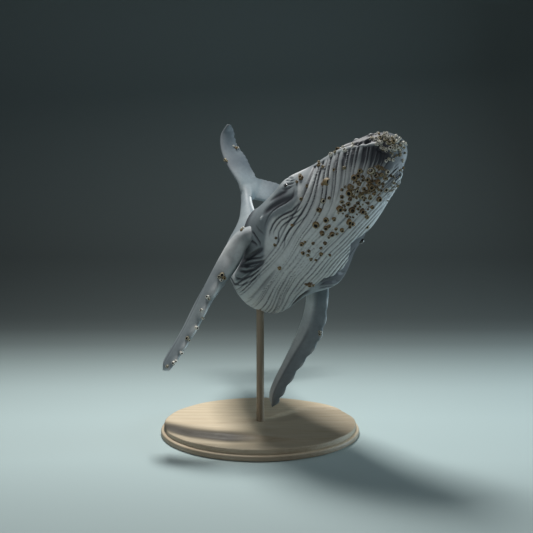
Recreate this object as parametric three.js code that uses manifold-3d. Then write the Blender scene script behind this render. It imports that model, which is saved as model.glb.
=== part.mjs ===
// Humpback whale figurine: a cast resin whale arching over a carved wooden base on a dowel post.
// Millimetres, +Z up. Origin: centre of the felt underside. -Y is the front; the head leans to +X.
import * as THREE from "three";
import Module from "manifold-3d";

const wasm = await Module();
wasm.setup();

// Base
const BASE_DIAMETER = 210;
const FELT_THICKNESS = 1.5;
const FELT_RECESS = 1;
const FELT_MARGIN = 9;
const PLINTH_THICKNESS = 5.2;
const PLINTH_EDGE_RADIUS = 2.2;
const TOP_STEP = 3.3;
const TOP_THICKNESS = 5.6;
const TOP_EDGE_RADIUS = 1.4;
const EDGE_GROOVE_DEPTH = 1.2;
const TOP_RINGS = 9;

// Wind-blown ridges carved across the top: crest line, and fall towards the front over a run
const NEAR_RIDGE = [
  { along: -105, line: -15, fall: 3.4, run: 16 },
  { along: -84, line: -31, fall: 3.2, run: 10 },
  { along: -66, line: -42, fall: 3.2, run: 8 },
  { along: -30, line: -55, fall: 3, run: 6 },
  { along: 0, line: -59, fall: 2, run: 7 },
  { along: 40, line: -70, fall: 0.6, run: 12 },
];
const FAR_RIDGE = [
  { along: -5, line: 4, fall: 0, run: 7 },
  { along: 11, line: 16, fall: 1, run: 8 },
  { along: 27, line: 33, fall: 1.8, run: 9 },
  { along: 45, line: 51, fall: 2.2, run: 9 },
  { along: 68, line: 59, fall: 2.2, run: 9 },
  { along: 90, line: 50, fall: 2.4, run: 8 },
  { along: 104, line: 44, fall: 2.6, run: 7 },
];

// Post and its screw
const POST_DIAMETER = 8;
const POST_TOP = 154;
const SCREW_HEAD_DIAMETER = 7.4;
const SCREW_SHANK_DIAMETER = 3.5;
const SCREW_LENGTH = 24;

// Joints between the castings
const JOINT_GAP = 0.3;
const PIN_DIAMETER = 3;
const PIN_LENGTH = 22;
const FLUKE_SEAM = 0.9;

// Body stations, snout to tail: centre line, half width, heights of the back and of the belly
const BODY = [
  { along: 0, at: [133.5, -97, 295.5], half: 24.5, back: 9.5, belly: 20 },
  { along: 0.04, at: [117.5, -91, 286.3], half: 28.3, back: 11, belly: 26 },
  { along: 0.08, at: [101, -85, 272], half: 33, back: 15.5, belly: 32.5 },
  { along: 0.14, at: [81.5, -74, 251.5], half: 40, back: 23.5, belly: 40 },
  { along: 0.21, at: [56.3, -58, 225], half: 49.2, back: 33, belly: 43.2 },
  { along: 0.31, at: [31.3, -22, 195.3], half: 50.8, back: 46, belly: 43.5 },
  { along: 0.43, at: [6.6, 34, 174.7], half: 40.3, back: 47.5, belly: 49 },
  { along: 0.56, at: [-6, 96, 182.5], half: 31, back: 42.5, belly: 42 },
  { along: 0.68, at: [-17, 152, 199.5], half: 18, back: 30.5, belly: 31.5 },
  { along: 0.79, at: [-18, 202, 221.5], half: 12, back: 15, belly: 13.4 },
  { along: 0.88, at: [-20.5, 240, 247.5], half: 7, back: 7.6, belly: 8.2 },
  { along: 0.94, at: [-18, 262, 266], half: 10.5, back: 6, belly: 9.5 },
  { along: 1, at: [-10, 279, 284], half: 12, back: 1.6, belly: 1.6 },
];
const RIGHT_AT_SNOUT = [-0.63, -0.42, 0.66];
const RIGHT_AT_TAIL = [-0.6, -0.2, 0.77];
const NOSE_ROUNDING = 0.075;
const SECTION_POWER = 2.2;
const BODY_RINGS = 38;

// Ventral pleats, jaw and back fin
const PLEAT_COUNT = 26;
const PLEAT_DEPTH = 1.4;
const PLEAT_END = 0.6;
const PLEAT_SPREAD_HEAD = 3.3;
const PLEAT_SPREAD_BELLY = 2.8;
const JAW_ANGLE = 1.42;
const JAW_GROOVE = 1.5;
const ARMPIT = { along: 0.4, angle: 2.1, depth: 9 };
const BROW = { along: 0.185, angle: 1.48, height: 2.5 };
const KEEL_HEIGHT = 1.4;
const BACK_FIN = { start: 0.6, end: 0.69, height: 13, thickness: 5 };
const EYE = { along: 0.19, angle: 1.64, diameter: 5.4, proud: 0.6 };

// Where the skin rises (or sinks) under muscle: place, reach along and round the body, height
const SWELLS = [
  { name: "right shoulder", along: 0.34, angle: 1.2, length: 0.045, width: 0.5, height: 5.7 },
  { name: "behind the right shoulder", along: 0.4, angle: 1.3, length: 0.045, width: 0.5, height: 3.5 },
  { name: "breast", along: 0.37, angle: 2.9, length: 0.06, width: 0.5, height: 11 },
  { name: "under the breast", along: 0.43, angle: 2.9, length: 0.06, width: 0.5, height: -7 },
  { name: "left breast", along: 0.37, angle: 3.7, length: 0.06, width: 0.45, height: 7.6 },
  { name: "belly", along: 0.5, angle: 3.1, length: 0.06, width: 0.6, height: -5.6 },
  { name: "left shoulder", along: 0.3, angle: 4.6, length: 0.06, width: 0.5, height: 9.5 },
  { name: "left armpit", along: 0.38, angle: 4.5, length: 0.05, width: 0.4, height: -13 },
  { name: "left armpit fold", along: 0.39, angle: 3.95, length: 0.045, width: 0.28, height: 12.2 },
  { name: "behind the left flipper", along: 0.44, angle: 4.1, length: 0.05, width: 0.35, height: -11 },
  { name: "barnacle crust on the chin", along: 0.069, angle: 2.7, length: 0.03, width: 0.4, height: 2.4 },
  { name: "barnacle crust on the lip", along: 0.012, angle: 4.74, length: 0.02, width: 0.5, height: 1.8 },
];

// Flippers: centre line from root to tip, half chord and half thickness
const RIGHT_FLIPPER = [
  { along: 0, at: [1.5, -34, 218], half: 15.5, thick: 8.5 },
  { along: 0.11, at: [-19.8, -43, 208.6], half: 9.8, thick: 8 },
  { along: 0.24, at: [-32.8, -51, 184.5], half: 7.8, thick: 6.4 },
  { along: 0.43, at: [-52.9, -60, 149.6], half: 14.9, thick: 5.8 },
  { along: 0.62, at: [-69.1, -66, 118.6], half: 14.8, thick: 5 },
  { along: 0.84, at: [-85.2, -70, 92.2], half: 14.4, thick: 4 },
  { along: 1, at: [-93.2, -71, 80], half: 10.8, thick: 2.8 },
];
const LEFT_FLIPPER = [
  { along: 0, at: [56, 3, 167], half: 16.5, thick: 7.5 },
  { along: 0.12, at: [60.5, 5, 148], half: 13.4, thick: 7.5 },
  { along: 0.28, at: [57.3, 7, 121], half: 13.1, thick: 6.2 },
  { along: 0.45, at: [50.2, 10, 99.3], half: 13.8, thick: 5.4 },
  { along: 0.65, at: [33.5, 14, 69.7], half: 10.4, thick: 4.6 },
  { along: 0.85, at: [17.2, 17, 38.8], half: 7.7, thick: 3.6 },
  { along: 1, at: [13, 18, 21.5], half: 5, thick: 2.6 },
];
const RIGHT_FLIPPER_FORWARD = [0.55, -0.75, 0.3];
const LEFT_FLIPPER_FORWARD = [0.8, -0.5, 0.3];
const KNOB_COUNT = 9;
const KNOB_HEIGHT = 2.2;
const FLIPPER_TIP = { start: 0.9, end: 1.01 };

// Fluke from the right tip to the left tip: leading edge, trailing edge and half thickness
const FLUKE = [
  { along: -1, front: [-49.7, 283, 361], rear: [-43, 284, 360.6], thick: 1.6 },
  { along: -0.9, front: [-58.6, 281, 345.5], rear: [-39.9, 290, 354], thick: 2.2 },
  { along: -0.7, front: [-57.2, 273, 322.2], rear: [-35.2, 294, 334], thick: 3.2 },
  { along: -0.45, front: [-47.6, 263, 299.6], rear: [-22.8, 294, 316.5], thick: 4.2 },
  { along: -0.2, front: [-33.4, 254, 277], rear: [-14, 289, 298.1], thick: 5.2 },
  { along: -0.08, front: [-28.6, 251, 263.5], rear: [-9.3, 284, 291.2], thick: 5.2 },
  { along: 0, front: [-25.5, 253, 260], rear: [-8.1, 281, 287.4], thick: 5 },
  { along: 0.08, front: [-16, 255, 256], rear: [-5.2, 285, 285.9], thick: 5.2 },
  { along: 0.2, front: [-10.3, 259, 254], rear: [2.1, 293, 284], thick: 5 },
  { along: 0.45, front: [10.5, 268, 249.3], rear: [26.6, 302, 277.2], thick: 4 },
  { along: 0.7, front: [31.7, 284, 240.2], rear: [46.6, 309, 262.5], thick: 3 },
  { along: 0.9, front: [52.2, 302, 234], rear: [58.1, 313, 246.9], thick: 2 },
  { along: 1, front: [64, 313, 234], rear: [65, 315, 238], thick: 1.4 },
];
const SERRATION = 0.8;

const GREY = 0x8a9499;
const WOOD = 0xd9c19a;
const V = (p) => new THREE.Vector3(...p);
const clamp = (x, lo, hi) => Math.min(hi, Math.max(lo, x));
const smooth = (lo, hi, x) => {
  const t = clamp((x - lo) / (hi - lo), 0, 1);
  return t * t * (3 - 2 * t);
};
const bell = (x) => Math.exp(-x * x);

// Smooth curve through keyed numbers
function keyed(keys, values, x) {
  const last = keys.length - 1;
  const at = clamp(x, keys[0], keys[last]);
  let i = 0;
  while (i < last - 1 && at > keys[i + 1]) i += 1;
  const step = keys[i + 1] - keys[i];
  const slope = (k) => {
    const lo = Math.max(0, k - 1);
    const hi = Math.min(last, k + 1);
    return (values[hi] - values[lo]) / (keys[hi] - keys[lo]);
  };
  const u = (at - keys[i]) / step;
  const u2 = u * u;
  const u3 = u2 * u;
  return (
    (2 * u3 - 3 * u2 + 1) * values[i] +
    (u3 - 2 * u2 + u) * step * slope(i) +
    (3 * u2 - 2 * u3) * values[i + 1] +
    (u3 - u2) * step * slope(i + 1)
  );
}
const sizeAt = (stations, name, x) =>
  keyed(stations.map((s) => s.along), stations.map((s) => s[name]), x);
function pointAt(stations, name, x) {
  const keys = stations.map((s) => s.along);
  return V([0, 1, 2].map((k) => keyed(keys, stations.map((s) => s[name][k]), x)));
}

function directionAt(stations, x) {
  const step = 0.01;
  return pointAt(stations, "at", Math.min(1, x + step))
    .sub(pointAt(stations, "at", Math.max(0, x - step)))
    .normalize();
}

// Centre, tailward, right and back directions of the body at a station
function bodyFrame(along) {
  const tailward = directionAt(BODY, along);
  const right = V(RIGHT_AT_SNOUT).lerp(V(RIGHT_AT_TAIL), along);
  right.addScaledVector(tailward, -right.dot(tailward)).normalize();
  const back = new THREE.Vector3().crossVectors(tailward, right).normalize();
  return { centre: pointAt(BODY, "at", along), tailward, right, back };
}

const roundPower = (x) => Math.sign(x) * Math.abs(x) ** (2 / SECTION_POWER);

function pleatSpread(along) {
  return PLEAT_SPREAD_HEAD + (PLEAT_SPREAD_BELLY - PLEAT_SPREAD_HEAD) * smooth(0.16, 0.27, along);
}

// Depth below the smooth skin: pleat grooves and the mouth line, less the brow over the eye
function skinDepth(along, angle) {
  const fromBelly = Math.abs(angle - Math.PI);
  const across = (2 * fromBelly) / pleatSpread(along);
  const edge = (1 - smooth(0.9, 1, across)) * smooth(0.02, 0.06, along);
  const wave = 0.5 + 0.5 * Math.cos(across * Math.PI * PLEAT_COUNT);
  const pleats = PLEAT_DEPTH * wave ** 2 * edge * (1 - smooth(PLEAT_END - 0.08, PLEAT_END, along));
  const side = Math.PI - fromBelly;
  const mouth = JAW_GROOVE * bell((side - JAW_ANGLE) / 0.06) * (1 - smooth(0.17, 0.2, along));
  const brow = BROW.height * bell((along - BROW.along) / 0.022) * bell((side - BROW.angle) / 0.2);
  const hollow = ARMPIT.depth * bell((along - ARMPIT.along) / 0.07) * bell((side - ARMPIT.angle) / 0.45);
  return pleats + mouth + hollow - brow;
}

// Height of the muscle swellings over the plain section, and of the keels along the tail stock
function skinRise(along, angle) {
  let rise = 0;
  for (const s of SWELLS) {
    rise += s.height * bell((along - s.along) / s.length) * bell((angle - s.angle) / s.width);
  }
  const fromRidge = Math.min(angle, Math.abs(angle - Math.PI), 2 * Math.PI - angle);
  return rise + KEEL_HEIGHT * bell(fromRidge / 0.3) * smooth(0.76, 0.84, along);
}

// A point of the body surface; the angle runs from the back over the right side
function bodyPoint(along, turn) {
  const angle = turn % (2 * Math.PI);
  const frame = bodyFrame(along);
  const nose = Math.sqrt(1 - (1 - clamp(along / NOSE_ROUNDING, 0, 1)) ** 2);
  const upward = roundPower(Math.cos(angle));
  const half = sizeAt(BODY, "half", along) * nose;
  const height = sizeAt(BODY, upward > 0 ? "back" : "belly", along) * nose;
  const shrink = 1 - (skinDepth(along, angle) * nose) / Math.min(half, height, 30);
  const outward = frame.right
    .clone()
    .multiplyScalar(half * roundPower(Math.sin(angle)) * shrink)
    .addScaledVector(frame.back, height * upward * shrink);
  const rise = skinRise(along, angle);
  return frame.centre.clone().add(outward).addScaledVector(outward.normalize(), rise);
}

// A closed solid whose faces look outward, whichever way round the corners are given
function solid(points, index) {
  const places = new Float32Array(points.flatMap((p) => p.toArray()));
  const close = (corners) =>
    new wasm.Manifold(
      new wasm.Mesh({ numProp: 3, vertProperties: places, triVerts: new Uint32Array(corners) }),
    );
  const made = close(index);
  if (made.volume() > 0) return made;
  const turned = [];
  for (let i = 0; i < index.length; i += 3) turned.push(index[i], index[i + 2], index[i + 1]);
  return close(turned);
}

// Closed skin over rings of points, with a pole at each end
function loft(rings, startPole, endPole) {
  const around = rings[0].length;
  const last = rings.length - 1;
  const points = [startPole, ...rings.flat(), endPole];
  const index = [];
  const id = (r, k) => 1 + r * around + (k % around);
  for (let k = 0; k < around; k += 1) {
    index.push(0, id(0, k + 1), id(0, k));
    index.push(points.length - 1, id(last, k), id(last, k + 1));
    for (let r = 0; r < last; r += 1) {
      index.push(id(r, k), id(r, k + 1), id(r + 1, k + 1));
      index.push(id(r, k), id(r + 1, k + 1), id(r + 1, k));
    }
  }
  return solid(points, index);
}

// Angles round the body, closer together over the pleats
function sectionAngles(along) {
  const pleated = PLEAT_COUNT * 2;
  const plain = 16;
  const reach = pleatSpread(along) / 2;
  const angles = [];
  for (let i = 0; i < pleated; i += 1) angles.push(Math.PI - reach + (2 * reach * i) / pleated);
  for (let i = 0; i < plain; i += 1) {
    angles.push(Math.PI + reach + ((2 * Math.PI - 2 * reach) * i) / plain);
  }
  return angles;
}

function bodyCasting() {
  const rings = [];
  for (let i = 1; i <= BODY_RINGS; i += 1) {
    const along = FLUKE_SEAM * (i / BODY_RINGS) ** 1.3;
    rings.push(sectionAngles(along).map((angle) => bodyPoint(along, angle)));
  }
  return loft(rings, bodyFrame(0).centre, bodyFrame(FLUKE_SEAM).centre).add(backFin());
}

// The stock behind the seam, rounding off inside the middle of the fluke
function stock() {
  const rings = [];
  const start = FLUKE_SEAM + 0.0006;
  const end = 0.985;
  for (let i = 0; i < 9; i += 1) {
    const share = i / 9;
    const along = start + (end - start) * share;
    const { centre } = bodyFrame(along);
    const ring = [];
    for (let k = 0; k < 24; k += 1) {
      const place = bodyPoint(along, (k / 24) * 2 * Math.PI);
      ring.push(place.lerp(centre, 1 - Math.sqrt(1 - share ** 3)));
    }
    rings.push(ring);
  }
  return loft(rings, bodyFrame(start).centre, bodyFrame(end).centre);
}

// A flipper: a blunt leading edge with a row of knobs and a thinner trailing edge
function flipper(stations, forward, grow) {
  const rings = [];
  const count = 2 * KNOB_COUNT * 2;
  const around = 14;
  for (let i = 0; i <= count; i += 1) {
    const along = i / count;
    const out = directionAt(stations, along);
    const lead = V(forward).addScaledVector(out, -V(forward).dot(out)).normalize();
    const up = new THREE.Vector3().crossVectors(out, lead);
    const tip = Math.sqrt(1 - smooth(FLIPPER_TIP.start, FLIPPER_TIP.end, along) ** 2);
    const wave = Math.abs(Math.sin(along * Math.PI * KNOB_COUNT)) ** 1.5;
    const knob = KNOB_HEIGHT * wave * smooth(0.15, 0.25, along);
    const half = sizeAt(stations, "half", along) * tip + grow;
    const thick = sizeAt(stations, "thick", along) * tip + grow;
    const centre = pointAt(stations, "at", along).addScaledVector(out, i === 0 ? -grow : 0);
    const ring = [];
    for (let k = 0; k < around; k += 1) {
      const turn = (k / around) * 2 * Math.PI;
      const ahead = Math.cos(turn);
      const bump = knob * Math.max(0, ahead) ** 4;
      ring.push(
        centre
          .clone()
          .addScaledVector(lead, half * ahead + bump)
          .addScaledVector(up, thick * Math.sin(turn) * (1 + 0.3 * ahead)),
      );
    }
    rings.push(ring);
  }
  const end = pointAt(stations, "at", 1).addScaledVector(directionAt(stations, 1), grow + 0.8);
  const start = pointAt(stations, "at", 0).addScaledVector(directionAt(stations, 0), -grow);
  return loft(rings, start, end);
}

// A thin blade, round along the front and sharp along the rear, which may be finely notched
function blade(stations, count, notch) {
  const rings = [];
  const first = stations[0].along;
  const last = stations[stations.length - 1].along;
  for (let i = 0; i <= count; i += 1) {
    const along = first + ((last - first) * i) / count;
    const front = pointAt(stations, "front", along);
    const chord = pointAt(stations, "rear", along).sub(front);
    const length = chord.length() - (i % 2) * notch;
    chord.normalize();
    const behind = pointAt(stations, "front", along - 0.02);
    const outward = pointAt(stations, "front", along + 0.02).sub(behind);
    const up = new THREE.Vector3().crossVectors(outward, chord).normalize();
    const thick = sizeAt(stations, "thick", along);
    const ring = [];
    for (let k = 0; k < 12; k += 1) {
      const turn = (k / 12) * 2 * Math.PI;
      const back = 0.5 - 0.5 * Math.cos(turn);
      const plump = (1 - back) ** 0.6 + 0.12;
      const place = front.clone().addScaledVector(chord, back * length);
      ring.push(place.addScaledVector(up, thick * Math.sin(turn) * plump));
    }
    rings.push(ring);
  }
  const middle = (x) => pointAt(stations, "front", x).lerp(pointAt(stations, "rear", x), 0.5);
  return loft(rings, middle(first), middle(last));
}

// Low hooked fin on the back, rooted a little under the skin
function backFin() {
  const { start, end, height, thickness } = BACK_FIN;
  const place = (along, rise) => {
    const frame = bodyFrame(along);
    return bodyPoint(along, 0).addScaledVector(frame.back, rise).toArray();
  };
  const middle = start + 0.45 * (end - start);
  const root = { along: 0, front: place(start, -4), rear: place(end, -4), thick: thickness };
  const waist = { along: 0.5, front: place(middle, 0.45 * height), rear: place(end, 0.4 * height) };
  const tip = { along: 1, front: place(end - 0.012, height), rear: place(end, height) };
  return blade([root, { ...waist, thick: thickness / 2 }, { ...tip, thick: thickness / 5 }], 6, 0);
}

// Shapes turned about the Z axis, from radius and height pairs
function turnedShape(profile, segments) {
  const geometry = new THREE.LatheGeometry(
    profile.map(([x, y]) => new THREE.Vector2(x, y)),
    segments,
  );
  geometry.rotateX(Math.PI / 2);
  return fromGeometry(geometry);
}

function fromGeometry(geometry) {
  const position = geometry.getAttribute("position");
  const places = new Map();
  const points = [];
  const id = [];
  for (let i = 0; i < position.count; i += 1) {
    const p = new THREE.Vector3().fromBufferAttribute(position, i);
    const key = p.toArray().map((x) => Math.round(x * 1000)).join(",");
    if (!places.has(key)) {
      places.set(key, points.length);
      points.push(p);
    }
    id.push(places.get(key));
  }
  const corners = Array.from(geometry.index.array, (i) => id[i]);
  const index = [];
  for (let i = 0; i < corners.length; i += 3) {
    const [a, b, c] = corners.slice(i, i + 3);
    if (a !== b && b !== c && a !== c) index.push(a, b, c);
  }
  return solid(points, index);
}

// A round rod between two places
function rod(from, to, diameter, segments = 20) {
  const length = from.distanceTo(to);
  const geometry = new THREE.CylinderGeometry(diameter / 2, diameter / 2, length, segments);
  const direction = to.clone().sub(from).normalize();
  geometry.applyQuaternion(new THREE.Quaternion().setFromUnitVectors(V([0, 1, 0]), direction));
  geometry.translate(...from.clone().add(to).multiplyScalar(0.5).toArray());
  return fromGeometry(geometry);
}

function ball(centre, diameter) {
  const geometry = new THREE.SphereGeometry(diameter / 2, 12, 7);
  geometry.translate(...centre.toArray());
  return fromGeometry(geometry);
}

// A steel pin across a joint, and the hole that takes it
function pinAt(centre, direction) {
  const reach = direction.clone().multiplyScalar(PIN_LENGTH / 2);
  const spare = direction.clone().multiplyScalar(PIN_LENGTH / 2 + JOINT_GAP);
  return {
    pin: rod(centre.clone().sub(reach), centre.clone().add(reach), PIN_DIAMETER),
    hole: rod(centre.clone().sub(spare), centre.clone().add(spare), PIN_DIAMETER + 2 * JOINT_GAP),
  };
}

// Quarter-round corner points of a turned profile
function rounded(radius, height, corner) {
  const points = [];
  for (let i = 0; i <= 3; i += 1) {
    const turn = (i / 3) * (Math.PI / 2);
    const out = radius - corner + corner * Math.cos(turn);
    points.push([out, height - corner + corner * Math.sin(turn)]);
  }
  return points;
}

const feltRadius = BASE_DIAMETER / 2 - FELT_MARGIN;
const plinthBottom = FELT_THICKNESS - FELT_RECESS;
const plinthTop = plinthBottom + PLINTH_THICKNESS;
const topBottom = plinthTop + JOINT_GAP;
const topRadius = BASE_DIAMETER / 2 - TOP_STEP;
const topHeight = topBottom + TOP_THICKNESS;
const postBottom = plinthTop + JOINT_GAP;
const recessTop = FELT_THICKNESS + JOINT_GAP;

function felt() {
  const edge = [[feltRadius, 0], [feltRadius, FELT_THICKNESS]];
  return turnedShape([[0, 0], ...edge, [0, FELT_THICKNESS]], 64);
}

function plinth(screwHole) {
  const radius = BASE_DIAMETER / 2;
  const recess = feltRadius + JOINT_GAP;
  const profile = [
    [0, recessTop],
    [recess, recessTop],
    [recess, plinthBottom],
    [radius - 0.6, plinthBottom],
    [radius, plinthBottom + 0.6],
    ...rounded(radius, plinthTop, PLINTH_EDGE_RADIUS),
    [0, plinthTop],
  ];
  return turnedShape(profile, 64).subtract(screwHole);
}

// Height of the carved ridges over the flat top, calmer along the rim
function ridgeHeight(x, y) {
  let height = -0.4;
  for (const ridge of [NEAR_RIDGE, FAR_RIDGE]) {
    const before = sizeAt(ridge, "line", x) - y;
    const fall = sizeAt(ridge, "fall", x);
    const slope = smooth(0, sizeAt(ridge, "run", x), before);
    height -= fall * slope * (1 - 0.7 * smooth(8, 40, before));
    height += 0.25 * fall * bell((before + 4) / 7);
  }
  return height * (1 - 0.45 * smooth(0.85, 1, Math.hypot(x, y) / topRadius));
}

function carvedTop(postHole) {
  const rings = [];
  const around = 48;
  const ring = (radius, height) => {
    const points = [];
    for (let k = 0; k < around; k += 1) {
      const turn = (k / around) * 2 * Math.PI;
      const x = radius * Math.cos(turn);
      const y = radius * Math.sin(turn);
      points.push(V([x, y, height(x, y)]));
    }
    rings.push(points);
  };
  const groove = topRadius - EDGE_GROOVE_DEPTH;
  ring(groove, () => topBottom);
  ring(groove, () => topBottom + EDGE_GROOVE_DEPTH);
  ring(topRadius, () => topBottom + 1.6 * EDGE_GROOVE_DEPTH);
  for (const [radius, drop] of rounded(topRadius, 0, TOP_EDGE_RADIUS)) {
    ring(radius, (x, y) => topHeight + ridgeHeight(x, y) + drop);
  }
  for (let i = 1; i <= TOP_RINGS; i += 1) {
    const share = 1 - i / (TOP_RINGS + 1);
    ring((topRadius - TOP_EDGE_RADIUS) * share, (x, y) => topHeight + ridgeHeight(x, y));
  }
  const middle = topHeight + ridgeHeight(0, 0);
  return loft(rings, V([0, 0, topBottom]), V([0, 0, middle])).subtract(postHole);
}

// Countersunk screw driven up through the plinth into the post
function screw(grow) {
  const shank = SCREW_SHANK_DIAMETER / 2 + grow;
  const head = SCREW_HEAD_DIAMETER / 2 + grow;
  const bottom = recessTop + 0.4 - grow;
  const taper = bottom + (head - shank);
  const end = recessTop + 0.4 + SCREW_LENGTH + grow;
  return turnedShape([[0, bottom], [head, bottom], [shank, taper], [shank, end - shank], [0, end]], 24);
}

function toMesh(made, name, colour) {
  const { vertProperties, triVerts, numProp } = made.getMesh();
  const positions = new Float32Array((vertProperties.length / numProp) * 3);
  for (let i = 0; i * 3 < positions.length; i += 1) {
    positions.set(vertProperties.subarray(i * numProp, i * numProp + 3), i * 3);
  }
  const geometry = new THREE.BufferGeometry();
  geometry.setAttribute("position", new THREE.BufferAttribute(positions, 3));
  geometry.setIndex(new THREE.BufferAttribute(triVerts, 1));
  geometry.computeVertexNormals();
  const mesh = new THREE.Mesh(geometry, new THREE.MeshStandardMaterial({ color: colour }));
  mesh.name = name;
  return mesh;
}

const figurine = new THREE.Group();
const add = (made, name, colour) => figurine.add(toMesh(made, name, colour));

// Base, post and screw
const postSize = POST_DIAMETER + 2 * JOINT_GAP;
const postHole = rod(V([0, 0, topBottom - 1]), V([0, 0, POST_TOP + JOINT_GAP]), postSize, 32);
const post = rod(V([0, 0, postBottom]), V([0, 0, POST_TOP]), POST_DIAMETER, 32);
add(felt(), "base_felt", 0x2f4a3c);
add(plinth(screw(JOINT_GAP)), "base_plinth", WOOD);
add(carvedTop(postHole), "base_top", WOOD);
add(post.subtract(screw(JOINT_GAP)), "post", WOOD);
add(screw(0), "post_screw", 0xc9a84c);

// Flippers, fluke and their pins
const flippers = [
  { side: "right", stations: RIGHT_FLIPPER, forward: RIGHT_FLIPPER_FORWARD },
  { side: "left", stations: LEFT_FLIPPER, forward: LEFT_FLIPPER_FORWARD },
];
let body = bodyCasting().subtract(postHole);
for (const { side, stations, forward } of flippers) {
  const { pin, hole } = pinAt(pointAt(stations, "at", 0), directionAt(stations, 0));
  body = body.subtract(flipper(stations, forward, JOINT_GAP)).subtract(hole);
  add(flipper(stations, forward, 0).subtract(hole), side + "_flipper", GREY);
  add(pin, side + "_flipper_pin", 0xb8bcc0);
}
const seam = bodyFrame(FLUKE_SEAM);
const flukePin = pinAt(seam.centre, seam.tailward);
const seamClear = rod(
  seam.centre.clone().addScaledVector(seam.tailward, -60),
  seam.centre.clone().addScaledVector(seam.tailward, JOINT_GAP),
  90,
);
const fluke = stock().add(blade(FLUKE, 42, SERRATION)).subtract(seamClear);
body = body.subtract(flukePin.hole);
add(fluke.subtract(flukePin.hole), "tail_fluke", GREY);
add(flukePin.pin, "fluke_pin", 0xb8bcc0);

// Eyes set in sockets
for (const [side, angle] of [["right", EYE.angle], ["left", 2 * Math.PI - EYE.angle]]) {
  const surface = bodyPoint(EYE.along, angle);
  const inward = bodyFrame(EYE.along).centre.clone().sub(surface).normalize();
  const centre = surface.addScaledVector(inward, EYE.diameter / 2 - EYE.proud);
  body = body.subtract(ball(centre, EYE.diameter + 2 * JOINT_GAP));
  add(ball(centre, EYE.diameter), side + "_eye", 0x1b1d20);
}
add(body, "whale_body", GREY);
export default figurine;
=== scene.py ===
# Humpback whale figurine: resin castings with barnacles, a carved wooden base and a dowel post
import math
import random

import bpy
import numpy as np
from mathutils import Matrix, Vector
from mathutils.bvhtree import BVHTree


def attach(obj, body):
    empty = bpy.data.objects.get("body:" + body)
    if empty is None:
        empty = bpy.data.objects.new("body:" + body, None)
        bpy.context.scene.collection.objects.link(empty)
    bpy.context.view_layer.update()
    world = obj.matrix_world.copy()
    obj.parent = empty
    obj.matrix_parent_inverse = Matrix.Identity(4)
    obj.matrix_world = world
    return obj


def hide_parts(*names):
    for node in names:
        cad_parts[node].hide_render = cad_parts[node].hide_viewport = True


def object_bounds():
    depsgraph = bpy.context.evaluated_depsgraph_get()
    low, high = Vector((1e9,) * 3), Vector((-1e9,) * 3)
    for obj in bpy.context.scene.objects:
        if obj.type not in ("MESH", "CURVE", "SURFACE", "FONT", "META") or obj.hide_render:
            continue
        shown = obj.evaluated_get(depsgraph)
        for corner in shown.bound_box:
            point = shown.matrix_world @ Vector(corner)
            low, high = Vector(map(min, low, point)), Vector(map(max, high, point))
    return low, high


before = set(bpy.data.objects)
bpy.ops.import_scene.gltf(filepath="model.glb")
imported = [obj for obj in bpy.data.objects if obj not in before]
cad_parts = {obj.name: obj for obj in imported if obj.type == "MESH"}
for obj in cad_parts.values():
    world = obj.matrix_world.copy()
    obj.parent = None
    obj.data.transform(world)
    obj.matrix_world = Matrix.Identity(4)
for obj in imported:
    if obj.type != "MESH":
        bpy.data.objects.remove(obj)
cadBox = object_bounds()
mm = 0.001

# Camera

cameraValues = {
    "place": (0.00669, -0.78006, 0.22319),
    "pitchDown": 3.4803,
    "lens": 50,
    "sensor": 36,
    "farClip": 50,
    "pictureSize": 533,
}


def addCamera(values):
    tilt = math.radians(90 - values["pitchDown"])
    bpy.ops.object.camera_add(location=values["place"], rotation=(tilt, 0, 0))
    camera = bpy.context.object
    camera.data.lens = values["lens"]
    camera.data.sensor_width = values["sensor"]
    camera.data.clip_end = values["farClip"]
    bpy.context.scene.camera = camera


addCamera(cameraValues)
print("camera placed")


def pictureRay(x, y):  # ray through a point of the picture
    values = cameraValues
    focal = values["lens"] / values["sensor"] * values["pictureSize"]
    centre = values["pictureSize"] / 2
    pitch = math.radians(values["pitchDown"])
    forward = Vector((0, math.cos(pitch), -math.sin(pitch)))
    upward = Vector((0, math.sin(pitch), math.cos(pitch)))
    direction = forward + Vector((1, 0, 0)) * ((x - centre) / focal) - upward * ((y - centre) / focal)
    return Vector(values["place"]), direction.normalized()


# Mesh helpers

def deselectAll():
    if bpy.context.object and bpy.context.object.mode != "OBJECT":
        bpy.ops.object.mode_set(mode="OBJECT")
    bpy.ops.object.select_all(action="DESELECT")


def makeActive(piece):
    deselectAll()
    piece.select_set(True)
    bpy.context.view_layer.objects.active = piece


def readVertices(piece):
    flat = np.empty(len(piece.data.vertices) * 3)
    piece.data.vertices.foreach_get("co", flat)
    return flat.reshape(-1, 3)


def writeVertices(piece, places):
    piece.data.vertices.foreach_set("co", np.asarray(places, float).ravel())
    piece.data.update()


def storeValues(piece, name, values):
    layer = piece.data.attributes.new(name, "FLOAT", "POINT")
    layer.data.foreach_set("value", np.asarray(values, float))


def facesOutward(piece):
    makeActive(piece)
    bpy.ops.object.mode_set(mode="EDIT")
    bpy.ops.mesh.select_all(action="SELECT")
    bpy.ops.mesh.normals_make_consistent(inside=False)
    bpy.ops.object.mode_set(mode="OBJECT")


def wrapGrid(name, grid):  # closed skin over a grid of places in millimetres, one row for each ring
    rings, columns = grid.shape[0] - 1, grid.shape[1]
    deselectAll()
    bpy.ops.mesh.primitive_uv_sphere_add(segments=columns, ring_count=rings, radius=1)
    piece = bpy.context.object
    piece.name = name
    piece.data.name = name
    v = readVertices(piece)
    ring = np.rint(np.arccos(np.clip(v[:, 2], -1, 1)) / math.pi * rings).astype(int)
    column = np.rint(np.arctan2(v[:, 1], v[:, 0]) / (2 * math.pi) * columns).astype(int) % columns
    writeVertices(piece, grid[ring, column] * mm)
    facesOutward(piece)
    return piece, ring, column


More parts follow.
